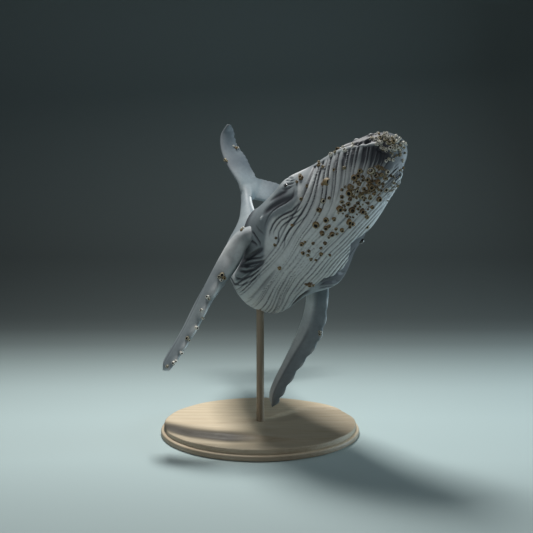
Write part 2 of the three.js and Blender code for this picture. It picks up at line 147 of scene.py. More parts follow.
def stepsAlong(rings, start=0, end=1):  # a value for each ring; the poles repeat both ends
    return np.concatenate([[start], np.linspace(start, end, rings - 1), [end]])


def stepsAround(columns):
    return np.arange(columns) / columns * 2 * math.pi


smoothAngles = {"body": 75, "blade": 60, "turned": 40, "carved": 50, "crust": 50}  # degrees


def finishPiece(piece, material, smoothAngle=None):
    makeActive(piece)
    if smoothAngle is None:
        bpy.ops.object.shade_smooth()
    else:
        bpy.ops.object.shade_smooth_by_angle(angle=math.radians(smoothAngle))
    piece.data.materials.clear()
    piece.data.materials.append(material)
    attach(piece, "root")


def applyModifiers(piece):
    makeActive(piece)
    for modifier in list(piece.modifiers):
        bpy.ops.object.modifier_apply(modifier=modifier.name)


def joinPieces(pieces, name):
    deselectAll()
    for piece in pieces:
        piece.select_set(True)
    bpy.context.view_layer.objects.active = pieces[0]
    if len(pieces) > 1:
        bpy.ops.object.join()
    joined = bpy.context.object
    joined.name = name
    joined.data.name = name
    return joined


# Shader helpers

def feed(tree, socket, value):  # link another socket, or set a plain value
    if isinstance(value, bpy.types.NodeSocket):
        tree.links.new(value, socket)
    else:
        socket.default_value = value


def opaque(colour):
    return colour if isinstance(colour, bpy.types.NodeSocket) else tuple(colour) + (1,)


def addNode(tree, kind, inputs=None, **settings):
    node = tree.nodes.new(kind)
    for key, value in settings.items():
        setattr(node, key, value)
    for key, value in (inputs or {}).items():
        feed(tree, node.inputs[key], value)
    return node


def addNoise(tree, vector, scale, detail, roughness=0.5):
    return addNode(tree, "ShaderNodeTexNoise", {"Vector": vector, "Scale": scale, "Detail": detail,
                                                "Roughness": roughness}).outputs["Fac"]


def addMapping(tree, vector, **settings):
    return addNode(tree, "ShaderNodeMapping", {"Vector": vector, **settings}).outputs[0]


def readAttribute(tree, name):
    return addNode(tree, "ShaderNodeAttribute", attribute_name=name).outputs["Fac"]


def addRamp(tree, factor, stops):
    node = addNode(tree, "ShaderNodeValToRGB", {"Fac": factor})
    ramp = node.color_ramp
    while len(ramp.elements) < len(stops):
        ramp.elements.new(0.5)
    for element, (place, colour) in zip(ramp.elements, stops):
        element.position = place
        element.color = opaque(colour)
    return node.outputs["Color"]


def mixColours(tree, factor, first, second, blend="MIX"):
    node = addNode(tree, "ShaderNodeMix", {0: factor, 6: opaque(first), 7: opaque(second)},
                   data_type="RGBA", blend_type=blend)
    return node.outputs[2]


def remap(tree, value, low, high, newLow, newHigh):
    node = addNode(tree, "ShaderNodeMapRange", {"Value": value, "From Min": low, "From Max": high,
                                                "To Min": newLow, "To Max": newHigh})
    return node.outputs["Result"]


def compute(tree, operation, first, second):
    node = addNode(tree, "ShaderNodeMath", {0: first, 1: second}, operation=operation)
    return node.outputs[0]


def startMaterial(name, metallic=0.0, coat=0.0):
    material = bpy.data.materials.new(name)
    material.use_nodes = True
    tree = material.node_tree
    shader = tree.nodes["Principled BSDF"]
    shader.inputs["Metallic"].default_value = metallic
    shader.inputs["Coat Weight"].default_value = coat
    coords = addNode(tree, "ShaderNodeTexCoord").outputs["Object"]
    return material, tree, shader, coords


def finishMaterial(tree, shader, tone, roughness, height=None, strength=0.3, depth=0.2):
    tree.links.new(tone, shader.inputs["Base Color"])
    feed(tree, shader.inputs["Roughness"], roughness)
    if height is not None:
        bump = addNode(tree, "ShaderNodeBump", {"Height": height, "Strength": strength,
                                                "Distance": depth * mm})
        tree.links.new(bump.outputs["Normal"], shader.inputs["Normal"])


surfaceOutputs = {"Color": "NodeSocketColor", "Roughness": "NodeSocketFloat", "Height": "NodeSocketFloat"}


def startGroup(name, inputs):
    group = bpy.data.node_groups.new(name, "ShaderNodeTree")
    for title, kind, value in inputs:
        socket = group.interface.new_socket(title, in_out="INPUT", socket_type=kind)
        if value is not None:
            socket.default_value = value
    for title, kind in surfaceOutputs.items():
        group.interface.new_socket(title, in_out="OUTPUT", socket_type=kind)
    return group, group.nodes.new("NodeGroupInput").outputs, group.nodes.new("NodeGroupOutput").inputs


noiseRange = (0.3, 0.7)  # nearly all that a noise texture gives lies in here


def fromNoise(tree, noise, least, most):
    return remap(tree, noise, *noiseRange, least, most)


def noiseTones(tree, noise, dark, light):
    return addRamp(tree, noise, list(zip(noiseRange, (dark, light))))


resinValues = {
    "back": (0.165, 0.205, 0.225), "belly": (0.56, 0.595, 0.6),
    # painted shade for hollows and folds, and a painted highlight for raised skin
    "paintedShade": (0.045, 0.052, 0.064), "paintedHighlight": (0.66, 0.7, 0.71),
    "cloudScale": 28, "speckScale": 260, "grainScale": 900,
    "cloud": [(0.3, (0.86, 0.87, 0.9)), (0.7, (1.08, 1.07, 1.05))],
    "speck": [(0.35, (0.9, 0.9, 0.9)), (0.65, (1.06, 1.06, 1.06))], "speckShare": 0.7,
    "highlightRange": (-0.08, -0.7), "shadeRange": (0.05, 0.8),  # painted shading where each colour begins and is full: first the painted highlight, then the painted shade
    "roughness": (0.52, 0.68), "speckHeight": 0.8, "bump": 0.25,
}


def makeResinGroup(values):  # mottling, painted shade and painted highlight, and fine grain shared by the castings
    group, given, result = startGroup("resinSurface", [
        ("Vector", "NodeSocketVector", None), ("PaintedShading", "NodeSocketFloat", 0.0),
        ("Base", "NodeSocketColor", opaque(values["back"])),
        ("PaintedShade", "NodeSocketColor", opaque(values["paintedShade"])),
        ("PaintedHighlight", "NodeSocketColor", opaque(values["paintedHighlight"])),
        ("Grain", "NodeSocketFloat", values["grainScale"])])
    cloud = addNoise(group, given["Vector"], values["cloudScale"], 5, 0.6)
    speck = addNoise(group, given["Vector"], values["speckScale"], 3)
    fine = addNoise(group, given["Vector"], given["Grain"], 2)
    paintedHighlight = remap(group, given["PaintedShading"], *values["highlightRange"], 0, 1)
    paintedShade = remap(group, given["PaintedShading"], *values["shadeRange"], 0, 1)
    tone = mixColours(group, paintedHighlight, given["Base"], given["PaintedHighlight"])
    tone = mixColours(group, paintedShade, tone, given["PaintedShade"])
    tone = mixColours(group, 1.0, tone, addRamp(group, cloud, values["cloud"]), "MULTIPLY")
    tone = mixColours(group, values["speckShare"], tone, addRamp(group, speck, values["speck"]), "MULTIPLY")
    group.links.new(tone, result["Color"])
    group.links.new(fromNoise(group, cloud, *values["roughness"]), result["Roughness"])
    relief = compute(group, "ADD", fine, compute(group, "MULTIPLY", speck, values["speckHeight"]))
    group.links.new(relief, result["Height"])
    return group


def makeResin(name, values, group):
    material, tree, shader, coords = startMaterial(name)
    base = mixColours(tree, readAttribute(tree, "tone"), values["back"], values["belly"])
    surface = addNode(tree, "ShaderNodeGroup", {
        "Vector": coords, "PaintedShading": readAttribute(tree, "paintedShading"), "Base": base,
        "PaintedShade": opaque(values["paintedShade"]), "PaintedHighlight": opaque(values["paintedHighlight"])}, node_tree=group).outputs
    finishMaterial(tree, shader, surface["Color"], surface["Roughness"], surface["Height"], values["bump"])
    return material


woodValues = {
    # dark colour for painted shade on the wood
    "paintedWoodShade": (0.1, 0.105, 0.11),
    "stretch": (0.12, 1, 1), "driftScale": 14, "drift": 0.018, "waviness": 1.2, "broadScale": 22,
    "fibre": (0.04, 1, 1), "poreScale": 900, "poreShare": 0.6,
    "pores": [(0.36, (0.82, 0.79, 0.74)), (0.55, (1.03, 1.03, 1.03))],
    "ringRange": (0.2, 1), "broadShare": (0.3, 0.9), "roughness": (0.62, 0.5), "ringHeight": 0.3,
    "carvedMaple": {"light": (0.74, 0.63, 0.46), "dark": (0.66, 0.54, 0.37), "rings": 38,
                    "shift": (0.03, 0.04, 0.06), "turn": 0},
    "turnedMaple": {"light": (0.63, 0.53, 0.39), "dark": (0.57, 0.46, 0.32), "rings": 26,
                    "shift": (0.1, -0.05, 0.3), "turn": 0},
    "dowelBirch": {"light": (0.25, 0.205, 0.15), "dark": (0.19, 0.155, 0.105), "rings": 55,
                   "shift": (0, 0.004, 0.003), "turn": math.pi / 2},  # the grain runs up the post
}


def makeWoodGroup(values):  # growth rings and pores along the X axis
    group, given, result = startGroup("woodGrain", [
        ("Vector", "NodeSocketVector", None), ("Rings", "NodeSocketFloat", 60.0),
        ("Light", "NodeSocketColor", (0.7, 0.55, 0.36, 1)), ("Dark", "NodeSocketColor", (0.5, 0.36, 0.2, 1))])
    stretched = addMapping(group, given["Vector"], Scale=values["stretch"])
    drift = addNode(group, "ShaderNodeTexNoise", {"Vector": stretched, "Scale": values["driftScale"],
                                                  "Detail": 3})
    bent = addNode(group, "ShaderNodeMix", {0: values["drift"], 4: stretched, 5: drift.outputs["Color"]},
                   data_type="VECTOR").outputs[1]
    rings = addNode(group, "ShaderNodeTexWave", {
        "Vector": bent, "Scale": given["Rings"], "Distortion": values["waviness"],
        "Detail": 2, "Detail Scale": 1.5}, wave_type="RINGS", rings_direction="X").outputs["Fac"]
    pores = addNoise(group, addMapping(group, given["Vector"], Scale=values["fibre"]), values["poreScale"], 3)
    broad = addNoise(group, stretched, values["broadScale"], 2)
    mask = compute(group, "MULTIPLY", remap(group, rings, *values["ringRange"], 0, 1),
                   fromNoise(group, broad, *values["broadShare"]))
    tone = mixColours(group, mask, given["Light"], given["Dark"])
    tone = mixColours(group, values["poreShare"], tone, addRamp(group, pores, values["pores"]), "MULTIPLY")
    group.links.new(tone, result["Color"])
    group.links.new(fromNoise(group, pores, *values["roughness"]), result["Roughness"])
    relief = compute(group, "ADD", pores, compute(group, "MULTIPLY", rings, values["ringHeight"]))
    group.links.new(relief, result["Height"])
    return group


def makeWood(name, group):
    values = woodValues[name]
    material, tree, shader, coords = startMaterial(name)
    placed = addMapping(tree, coords, Location=values["shift"], Rotation=(0, values["turn"], 0))
    grain = addNode(tree, "ShaderNodeGroup", {
        "Vector": placed, "Rings": values["rings"], "Light": opaque(values["light"]),
        "Dark": opaque(values["dark"])}, node_tree=group).outputs
    # painted shade mixed in where the attribute asks for it
    paintedShadeTone = mixColours(tree, 1.0, grain["Color"], woodValues["paintedWoodShade"], "MULTIPLY")
    tone = mixColours(tree, readAttribute(tree, "paintedWoodShade"), grain["Color"], paintedShadeTone)
    finishMaterial(tree, shader, tone, grain["Roughness"], grain["Height"])
    return material


barnacleColours = {
    "wall": [(0, (0.1, 0.065, 0.035)), (0.35, (0.25, 0.16, 0.07)), (0.7, (0.16, 0.15, 0.08)),
             (1, (0.7, 0.69, 0.63))],
    "rim": [(0, (0.26, 0.19, 0.11)), (0.5, (0.38, 0.31, 0.18)), (1, (0.9, 0.89, 0.82))],
    "mouth": (0.01, 0.01, 0.01),
    "mottling": [(0.35, (0.7, 0.7, 0.7)), (0.65, (1.15, 1.15, 1.12))], "mottlingShare": 0.8,
    "rimPart": (0.25, 0.6), "mouthPart": (0.66, 0.9),  # part of the cup where each begins and is full
    "roughness": (0.55, 0.8), "bump": (0.5, 0.3),  # strength, and depth in millimetres
}
eyeColours = {"dark": (0.006, 0.006, 0.008), "light": (0.03, 0.025, 0.022), "roughness": (0.1, 0.22)}
metalValues = {"darkShare": 0.8, "roughness": (0.21, 0.39)}
feltColours = {"dark": (0.02, 0.05, 0.035), "light": (0.06, 0.12, 0.085), "worn": (0.03, 0.07, 0.05),
               "wornShare": 0.35, "roughness": 0.95, "bump": (0.7, 0.4)}
noiseScales = {"barnacle": 700, "eye": 500, "metal": 1200, "felt": 1500, "feltPatch": 90}


def makeBarnacleMaterial(colours):
    material, tree, shader, coords = startMaterial("barnacleCrust")
    part, tint = readAttribute(tree, "part"), readAttribute(tree, "tint")
    noise = addNoise(tree, coords, noiseScales["barnacle"], 3)
    wall, rim = addRamp(tree, tint, colours["wall"]), addRamp(tree, tint, colours["rim"])
    tone = mixColours(tree, remap(tree, part, *colours["rimPart"], 0, 1), wall, rim)
    tone = mixColours(tree, remap(tree, part, *colours["mouthPart"], 0, 1), tone, colours["mouth"])
    mottling = addRamp(tree, noise, colours["mottling"])
    tone = mixColours(tree, colours["mottlingShare"], tone, mottling, "MULTIPLY")
    roughness = fromNoise(tree, noise, *colours["roughness"])
    finishMaterial(tree, shader, tone, roughness, noise, *colours["bump"])
    return material


def makeEyeMaterial(colours):
    material, tree, shader, coords = startMaterial("eyeBead", coat=1.0)
    noise = addNoise(tree, coords, noiseScales["eye"], 2)
    tone = noiseTones(tree, noise, colours["dark"], colours["light"])
    finishMaterial(tree, shader, tone, fromNoise(tree, noise, *colours["roughness"]))
    return material


def makeMetal(name, colour, values):
    material, tree, shader, coords = startMaterial(name, metallic=1.0)
    noise = addNoise(tree, coords, noiseScales["metal"], 3)
    tone = noiseTones(tree, noise, [c * values["darkShare"] for c in colour], colour)
    finishMaterial(tree, shader, tone, fromNoise(tree, noise, *values["roughness"]))
    return material


def makeFelt(colours):
    material, tree, shader, coords = startMaterial("greenFelt")
    fluff = addNoise(tree, coords, noiseScales["felt"], 6)
    patch = addNoise(tree, coords, noiseScales["feltPatch"], 3)
    tone = noiseTones(tree, fluff, colours["dark"], colours["light"])
    tone = mixColours(tree, fromNoise(tree, patch, 0, colours["wornShare"]), tone, colours["worn"])
    finishMaterial(tree, shader, tone, colours["roughness"], fluff, *colours["bump"])
    return material


resinGroup = makeResinGroup(resinValues)
woodGroup = makeWoodGroup(woodValues)
castResin = makeResin("castResin", resinValues, resinGroup)
woodTop, woodPlinth, woodPost = (makeWood(name, woodGroup)
                                 for name in ("carvedMaple", "turnedMaple", "dowelBirch"))
barnacleCrust = makeBarnacleMaterial(barnacleColours)
print("materials made")

# Whale body: stations from snout to tail, in millimetres

bodyStations = {
    "along": [0, 0.04, 0.08, 0.14, 0.21, 0.31, 0.43, 0.56, 0.68, 0.79, 0.88, 0.94, 1],
    "at": [(133.5, -97, 295.5), (117.5, -91, 286.3), (101, -85, 272), (81.5, -74, 251.5), (56.3, -58, 225),
           (31.3, -22, 195.3), (6.6, 34, 174.7), (-6, 96, 182.5), (-17, 152, 199.5), (-18, 202, 221.5),
           (-20.5, 240, 247.5), (-18, 262, 266), (-10, 279, 284)],
    "half": [24.5, 28.3, 33, 40, 49.2, 50.8, 40.3, 31, 18, 12, 7, 10.5, 12],
    "back": [9.5, 11, 15.5, 23.5, 33, 46, 47.5, 42.5, 30.5, 15, 7.6, 6, 1.6],
    "belly": [20, 26, 32.5, 40, 43.2, 43.5, 49, 42, 31.5, 13.4, 8.2, 9.5, 1.6],
    "rightAtSnout": (-0.63, -0.42, 0.66),
    "rightAtTail": (-0.6, -0.2, 0.77),
    "brow": {"along": 0.185, "angle": 1.48, "height": 2.5, "length": 0.022, "width": 0.2},
    "armpit": {"along": 0.4, "angle": 2.1, "height": -9, "length": 0.07, "width": 0.45},
    "swells": [  # along, angle, length along, width in angle, height
        (0.34, 1.2, 0.045, 0.5, 5.5), (0.4, 1.3, 0.045, 0.5, 3.5),  # right shoulder
        (0.37, 2.9, 0.06, 0.5, 11), (0.43, 2.9, 0.06, 0.5, -7),  # breast
        (0.37, 3.7, 0.06, 0.45, 8), (0.5, 3.1, 0.06, 0.6, -5.6),
        (0.3, 4.6, 0.06, 0.5, 9), (0.38, 4.5, 0.05, 0.4, -14),  # left flank and armpit
        (0.39, 3.95, 0.045, 0.28, 12.5), (0.44, 4.1, 0.05, 0.35, -11)],
    "noseRounding": 0.075,
    "pushRadius": 30,
    "sectionPower": 2.2,
    "length": 515,
    "flukeSeam": 0.9,
    "unevenness": 0.12,
    "rings": 300,
    "columns": 330,
    "bellyColumns": 258,
    "bellyReach": 1.85,
    "densePlace": (0, 0.03, 0.1, 0.4, 0.46, 0.6, 1),
    "denseShare": (2.5, 1.6, 1, 1, 0.45, 0.2, 0.2),
}


def smooth(low, high, x):
    t = np.clip((x - low) / (high - low), 0, 1)
    return t * t * (3 - 2 * t)


def plateau(rise, full, fall, gone, x):  # up from rise to full, down again from fall to gone
    return smooth(rise, full, x) * (1 - smooth(fall, gone, x))


def bell(x):
    return np.exp(-x * x)


def keyed(keys, values, x):  # smooth curve through keyed numbers or points
    keys = np.asarray(keys, float)
    values = np.asarray(values, float)
    slopes = np.empty_like(values)
    gap = (keys[2:] - keys[:-2]).reshape((-1,) + (1,) * (values.ndim - 1))
    slopes[1:-1] = (values[2:] - values[:-2]) / gap
    slopes[0] = (values[1] - values[0]) / (keys[1] - keys[0])
    slopes[-1] = (values[-1] - values[-2]) / (keys[-1] - keys[-2])
    x = np.clip(np.asarray(x, float), keys[0], keys[-1])
    i = np.clip(np.searchsorted(keys, x, side="right") - 1, 0, len(keys) - 2)
    step = keys[i + 1] - keys[i]
    u = (x - keys[i]) / step
    if values.ndim > 1:
        u, step = u[..., None], step[..., None]
    u2, u3 = u * u, u * u * u
    return ((2 * u3 - 3 * u2 + 1) * values[i] + (u3 - 2 * u2 + u) * step * slopes[i]
            + (3 * u2 - 2 * u3) * values[i + 1] + (u3 - u2) * step * slopes[i + 1])


def unit(v):
    return v / np.maximum(1e-12, np.linalg.norm(v, axis=-1, keepdims=True))


def lineStep(values, along, key="at", low=0.0, step=0.01):  # from just behind each place to just ahead of it
    ahead = keyed(values["along"], values[key], np.minimum(1, np.asarray(along) + step))
    behind = keyed(values["along"], values[key], np.maximum(low, np.asarray(along) - step))
    return ahead - behind


def bodyFrame(along):  # centre, tailward, right and back directions
    b = bodyStations
    centre = keyed(b["along"], b["at"], along)
    tailward = unit(lineStep(b, along))
    share = np.asarray(along, float)[..., None]
    right = np.array(b["rightAtSnout"]) * (1 - share) + np.array(b["rightAtTail"]) * share
    right = unit(right - tailward * np.sum(right * tailward, -1, keepdims=True))
    return centre, tailward, right, np.cross(tailward, right)


def roundPower(x):
    return np.sign(x) * np.abs(x) ** (2 / bodyStations["sectionPower"])


def smoothSkin(along, angle):  # the body before pleats; the angle runs from the back over the right side
    b = bodyStations
    along, angle = np.broadcast_arrays(np.asarray(along, float), np.asarray(angle, float))
    centre, _, right, back = bodyFrame(along)
    nose = np.sqrt(1 - (1 - np.clip(along / b["noseRounding"], 0, 1)) ** 2)
    half, above, below = (keyed(b["along"], b[key], along) * nose for key in ("half", "back", "belly"))
    up = roundPower(np.cos(angle))
    height = np.where(up > 0, above, below)
    side = math.pi - np.abs(angle - math.pi)
    push = sum(p["height"] * bell((along - p["along"]) / p["length"]) * bell((side - p["angle"]) / p["width"])
               for p in (b["brow"], b["armpit"]))
    grow = 1 + push * nose / np.maximum(1e-6, np.minimum(np.minimum(half, height), b["pushRadius"]))
    offset = (right * (half * roundPower(np.sin(angle)) * grow)[..., None]
              + back * (height * up * grow)[..., None])
    swell = sum(h * bell((along - a) / da) * bell((angle - t) / dt) for a, t, da, dt, h in b["swells"])
    return centre + offset + unit(offset) * swell[..., None]


# Pleats and folds, placed by millimetres from the snout and arc from the middle of the belly (+ on the right)

pleatValues = {
    "jaw": {"place": [0, 12, 23, 29, 34, 39, 49, 61, 78, 95], "arc": [4, 14, 24, 31, 38, 44, 54, 61, 69, 73]},
    "drift": {"place": [0, 81, 105, 132, 145, 165, 186, 220, 260],
              "arc": [0, 0, -2, -7, -9, -18, -30, -42, -50]},
    "rightEdge": {"place": [0, 40, 82, 88, 94, 100, 107, 116, 123, 136, 145, 152, 163, 176, 190, 202, 214,
                            400],
                  "arc": [80, 80, 74, 60, 44, 40, 42, 47, 45, 33, 25, 20, 19, 19, 22, 32, 60, 80]},
    "leftEdge": {"place": [0, 40, 62, 72, 79, 88, 94, 100, 111, 122, 131, 140, 150, 170, 400],
                 "arc": [70, 70, 56, 47, 38, 31, 28, 37, 49, 52, 48, 38, 35, 40, 70]},
    "spreadPlace": [0, 130, 145, 165, 186, 220, 300],
    "right": {"place": [0, 15, 30, 38, 44, 49, 55, 59, 65, 73, 82, 95],
              "arc": [0, 0.8, 3, 5, 7.5, 9, 12, 17, 25, 30, 40, 56], "length": 22,
              "spread": [1, 1, 1.05, 1.4, 1.85, 2.2, 2.4]},
    "left": {"place": [0, 8, 14, 24, 33, 45, 60, 75, 95],
             "arc": [0, 3, 8, 15, 21, 28, 36, 46, 60], "length": 14,
             "spread": [1, 1, 0.95, 0.72, 0.5, 0.45, 0.45]},
    "starts": (4, 84, 161),  # first and last start of a line on the jaw, and how many
    "jawSlope": 1.2,
    "jawSpacing": 4.9, "finestSpacing": 4.1, "sideSpacing": 3.4,
    "grooveWidth": 1.05,
    "depth": 0.9, "jawDepth": 1.4, "cornerDepth": 0.6, "farDepth": 0.9,
    "leftShare": 1.25,  # the left side is cut deeper
    "waver": 0.7, "leftShift": 1.7, "uneven": [(0.9, 0.61, 0.4), (0.45, 1.7, 2)],  # height, pace and start
    "unevenDepth": 0.35, "softMiddle": 0.5,
    "overhang": 2.6, "leftLip": (-1, 3),
    "widest": 75, "lastLine": (67, 75),
    "begin": (14, 24),
    "end": (250, 330),
}


def lineArc(key, distance):  # arc of a named line at each distance
    return np.interp(distance, pleatValues[key]["place"], pleatValues[key]["arc"])


def pleatLines(distance, arc, side, starts, jaw, edgeStep):  # lines run from the jaw and settle inward
    settled = np.interp(starts, side["place"], side["arc"])
    label, spread, slant = np.zeros(arc.shape), np.zeros(arc.shape), np.zeros(arc.shape)
    for i, d in enumerate(distance):
        rest = settled * np.interp(d, pleatValues["spreadPlace"], side["spread"])
        fade = np.exp(-np.maximum(0, d - starts) / side["length"])
        line = rest + (jaw - rest) * fade
        ahead = starts > d
        line[ahead] = lineArc("jaw", d) + pleatValues["jawSlope"] * (starts[ahead] - d)
        line = np.maximum.accumulate(line + np.arange(len(line)) * 1e-6)
        label[i] = np.interp(arc[i], line, starts)
        spread[i] = np.interp(arc[i], line, np.gradient(line, starts) / edgeStep)
        slant[i] = np.interp(arc[i], line, (jaw - rest) * fade / side["length"])
    return label, spread, slant


def pleatHeight(distance, arc):
    v = pleatValues
    d = distance[:, None]
    starts = np.linspace(*v["starts"])
    jaw = lineArc("jaw", starts)
    edgeStep = np.sqrt(1 + np.gradient(jaw, starts) ** 2)
    edge = np.concatenate([[0], np.cumsum(0.5 * (edgeStep[1:] + edgeStep[:-1]) * np.diff(starts))])
    fromMiddle = arc - lineArc("drift", distance)[:, None]
    sides = [pleatLines(distance, np.abs(fromMiddle), v[name], starts, jaw, edgeStep)
             for name in ("right", "left")]
    label, spread, slant = (np.where(fromMiddle > 0, a, b) for a, b in zip(*sides))
    place = np.interp(label, starts, edge)
    place = place + v["waver"] * np.sin(d / 27 + 0.35 * place + 1.3 * np.sign(arc))
    place = place + v["leftShift"] * (fromMiddle < 0)
    place = place + sum(size * np.sin(pace * place + start) for size, pace, start in v["uneven"])
    gap = np.maximum(0.05, spread) * v["jawSpacing"] / np.sqrt(1 + slant ** 2)
    finest = v["finestSpacing"] + v["sideSpacing"] * smooth(15, 60, np.abs(arc))
    level = np.clip(np.log2(gap / finest), -4, 2)
    octave = np.floor(level)  # lines double in number where the gap has room for it

    def grooves(power):
        x = place / v["jawSpacing"] * 2 ** power
        off = np.abs(x - np.rint(x)) * gap / 2 ** power
        return bell(off / v["grooveWidth"])

    shape = np.maximum(grooves(octave), smooth(0.25, 0.75, level - octave) * grooves(octave + 1))
    since = np.maximum(0, d - label)
    corner = smooth(48, 55, label) * (1 - smooth(30, 70, since))
    depth = v["depth"] + v["jawDepth"] * np.exp(-since / 7) + v["cornerDepth"] * corner
    depth = depth * (1 - v["softMiddle"] * bell((d - 70) / 42) * bell(arc / 20))
    depth = depth + v["farDepth"] * smooth(150, 185, d) * smooth(5, 25, arc)
    depth = depth * np.where(arc < -8, v["leftShare"], 1)
    depth = depth * (1 + v["unevenDepth"] * np.sin(0.9 * place + d / 23) * np.sin(2.3 * place + 1))
    pastLeft = arc + lineArc("leftEdge", distance)[:, None]
    mask = (1 - smooth(*v["lastLine"], label)) * smooth(*v["begin"], d) * (1 - smooth(*v["end"], d))
    mask = mask * (np.abs(arc) < v["widest"]) * (starts[0] < label) * smooth(*v["leftLip"], pastLeft)
    inJaw = d - label > 0.3
    overhang = (1 - smooth(-1.2, 1.2, pastLeft)) * plateau(55, 72, 128, 150, d)
    overhang = -v["overhang"] * overhang * smooth(-85, -60, arc)
    return overhang - depth * shape * mask * inJaw, mask


creases = [  # half width, depth and the line of (distance, arc)
    (0.8, 0.9, [(92, 61), (94, 54), (97, 50), (102, 50), (107, 52), (113, 53), (119, 52), (124, 49),
     (130, 43)]),
    (2.8, 1.3, [(126, 61), (113, 58), (104, 54), (97, 50), (90, 50)]),
    (2.0, 0.7, [(118, 70), (108, 66), (100, 62), (94, 60)]),
    (0.9, 1.5, [(93, 45), (96, 40), (101, 39), (107, 42), (113, 43), (118, 42), (124, 39), (130, 33)]),
    (0.7, 1.1, [(92, 40), (95, 35), (100, 35), (105, 37), (110, 39), (116, 38), (121, 36), (127, 30)]),
    (0.7, 1.1, [(93, 32), (98, 30), (103, 33), (108, 34), (113, 34), (118, 32), (124, 26), (131, 22)]),
    (0.6, 0.9, [(92, 28), (97, 26), (104, 27), (110, 27), (116, 25), (122, 20), (129, 16)]),
    (0.6, 0.9, [(96, 79), (93, 73), (90, 67)]),
    (0.6, 0.9, [(97, 75), (94, 70), (90, 64)]),
    (0.7, 1.1, [(100, 71), (95, 66), (91, 62)]),
    (0.7, 0.7, [(102, 70), (99, 65), (96, 62), (92, 59)]),
    (0.9, 1.5, [(147, 56), (143, 50), (141, 44), (140, 38), (142, 33)]),
    (1.0, 1.5, [(158, 54), (151, 47), (146, 41), (144, 35)]),
    (0.7, 0.8, [(137, 57), (135, 50), (132, 44), (130, 39)]),
    (1.7, 2.8, [(138, 31), (143, 32), (150, 33), (158, 34), (167, 37), (176, 41)]),
    (0.9, 1.5, [(142, 25), (149, 26), (156, 30), (164, 34), (173, 38)]),
    (1.2, 2.0, [(145, 21), (152, 23), (160, 27), (168, 31), (178, 37)]),
    (0.8, 1.2, [(149, 20), (156, 22), (163, 25), (172, 31), (185, 38)]),
    (1.1, 2.0, [(145, 20), (153, 20), (162, 21), (171, 25), (184, 33)]),
    (0.9, 1.4, [(150, 17), (159, 17), (168, 18), (178, 21), (190, 27), (202, 32)]),
    (0.8, 1.0, [(158, 14), (166, 14), (176, 15), (188, 18), (202, 24)]),
    (1.6, 3.0, [(151, -36), (157, -37), (164, -37), (172, -39), (184, -43)]),
    (1.1, 2.2, [(144, -38), (137, -39), (134, -46), (132, -56), (136, -72)]),
    (1.1, 2.2, [(147, -41), (142, -45), (142, -56), (145, -70)]),
    (1.1, 2.0, [(150, -44), (149, -55), (152, -68)]),
    (1.2, 2.0, [(95, -63), (94, -55), (99, -48), (108, -51), (120, -50)]),
    (0.7, 1.0, [(97, -76), (94, -70), (90, -64)]),
    (1.2, 1.5, [(23, 23), (21, 17), (19, 12), (16, 8)]),
]

lumps = [  # distance, arc, radius, height
    (127, 57, 1.8, 1.6), (34, 42, 1.5, -4.2), (31, 38, 1.6, -4.2), (25, 33, 2.1, -5.5),
    (18, 16, 5, -1.6), (8, 10, 6, 1.2), (104, 60, 7, -0.8), (101, -62, 9, -1.2),
]


def nearLine(line, distance, arc):  # how far each point is from a line, and its share of the way along it
    best = np.full(arc.shape, 1e9)
    share = np.zeros(arc.shape)
    points = np.asarray(line, float)
    lengths = np.linalg.norm(np.diff(points, axis=0), axis=1)
    total = lengths.sum()
    walked = 0
    for start, end, length in zip(points[:-1], points[1:], lengths):
        step = (end - start) / length
        t = np.clip((distance - start[0]) * step[0] + (arc - start[1]) * step[1], 0, length)
        off = np.hypot(distance - start[0] - t * step[0], arc - start[1] - t * step[1])
        closer = off < best
        best = np.where(closer, off, best)
        share = np.where(closer, (walked + t) / total, share)
        walked += length
    return best, share


def creaseHeight(distance, arc):
    distance = np.broadcast_to(distance[:, None], arc.shape)
    height = np.zeros(arc.shape)
    for width, depth, line in creases:
        off, share = nearLine(line, distance, arc)
        taper = plateau(0, 0.28, 0.7, 1, share)
        height += depth * taper * (0.06 * bell((off - 2.3 * width) / width) - bell(off / width))
    for along, across, radius, rise in lumps:
        height += rise * bell(np.hypot(distance - along, arc - across) / radius)
    return height


headValues = {  # heights, and the steps between knobs
    "lip": 0.9, "roughEdge": 0.5, "mouthLine": 1.6, "upperLip": 0.7, "snoutDip": 1.9,
    "sideKnob": 1.8, "sideKnobStep": 10.5, "topKnob": 1.9, "topKnobStep": 12.5, "ridge": 1.6,
    "blowholes": 100, "blowholeMound": 3.0, "blowholeSlit": 2.6,
}


def offStep(d, step):  # distance to the nearest whole step
    return np.abs(d / step - np.rint(d / step)) * step


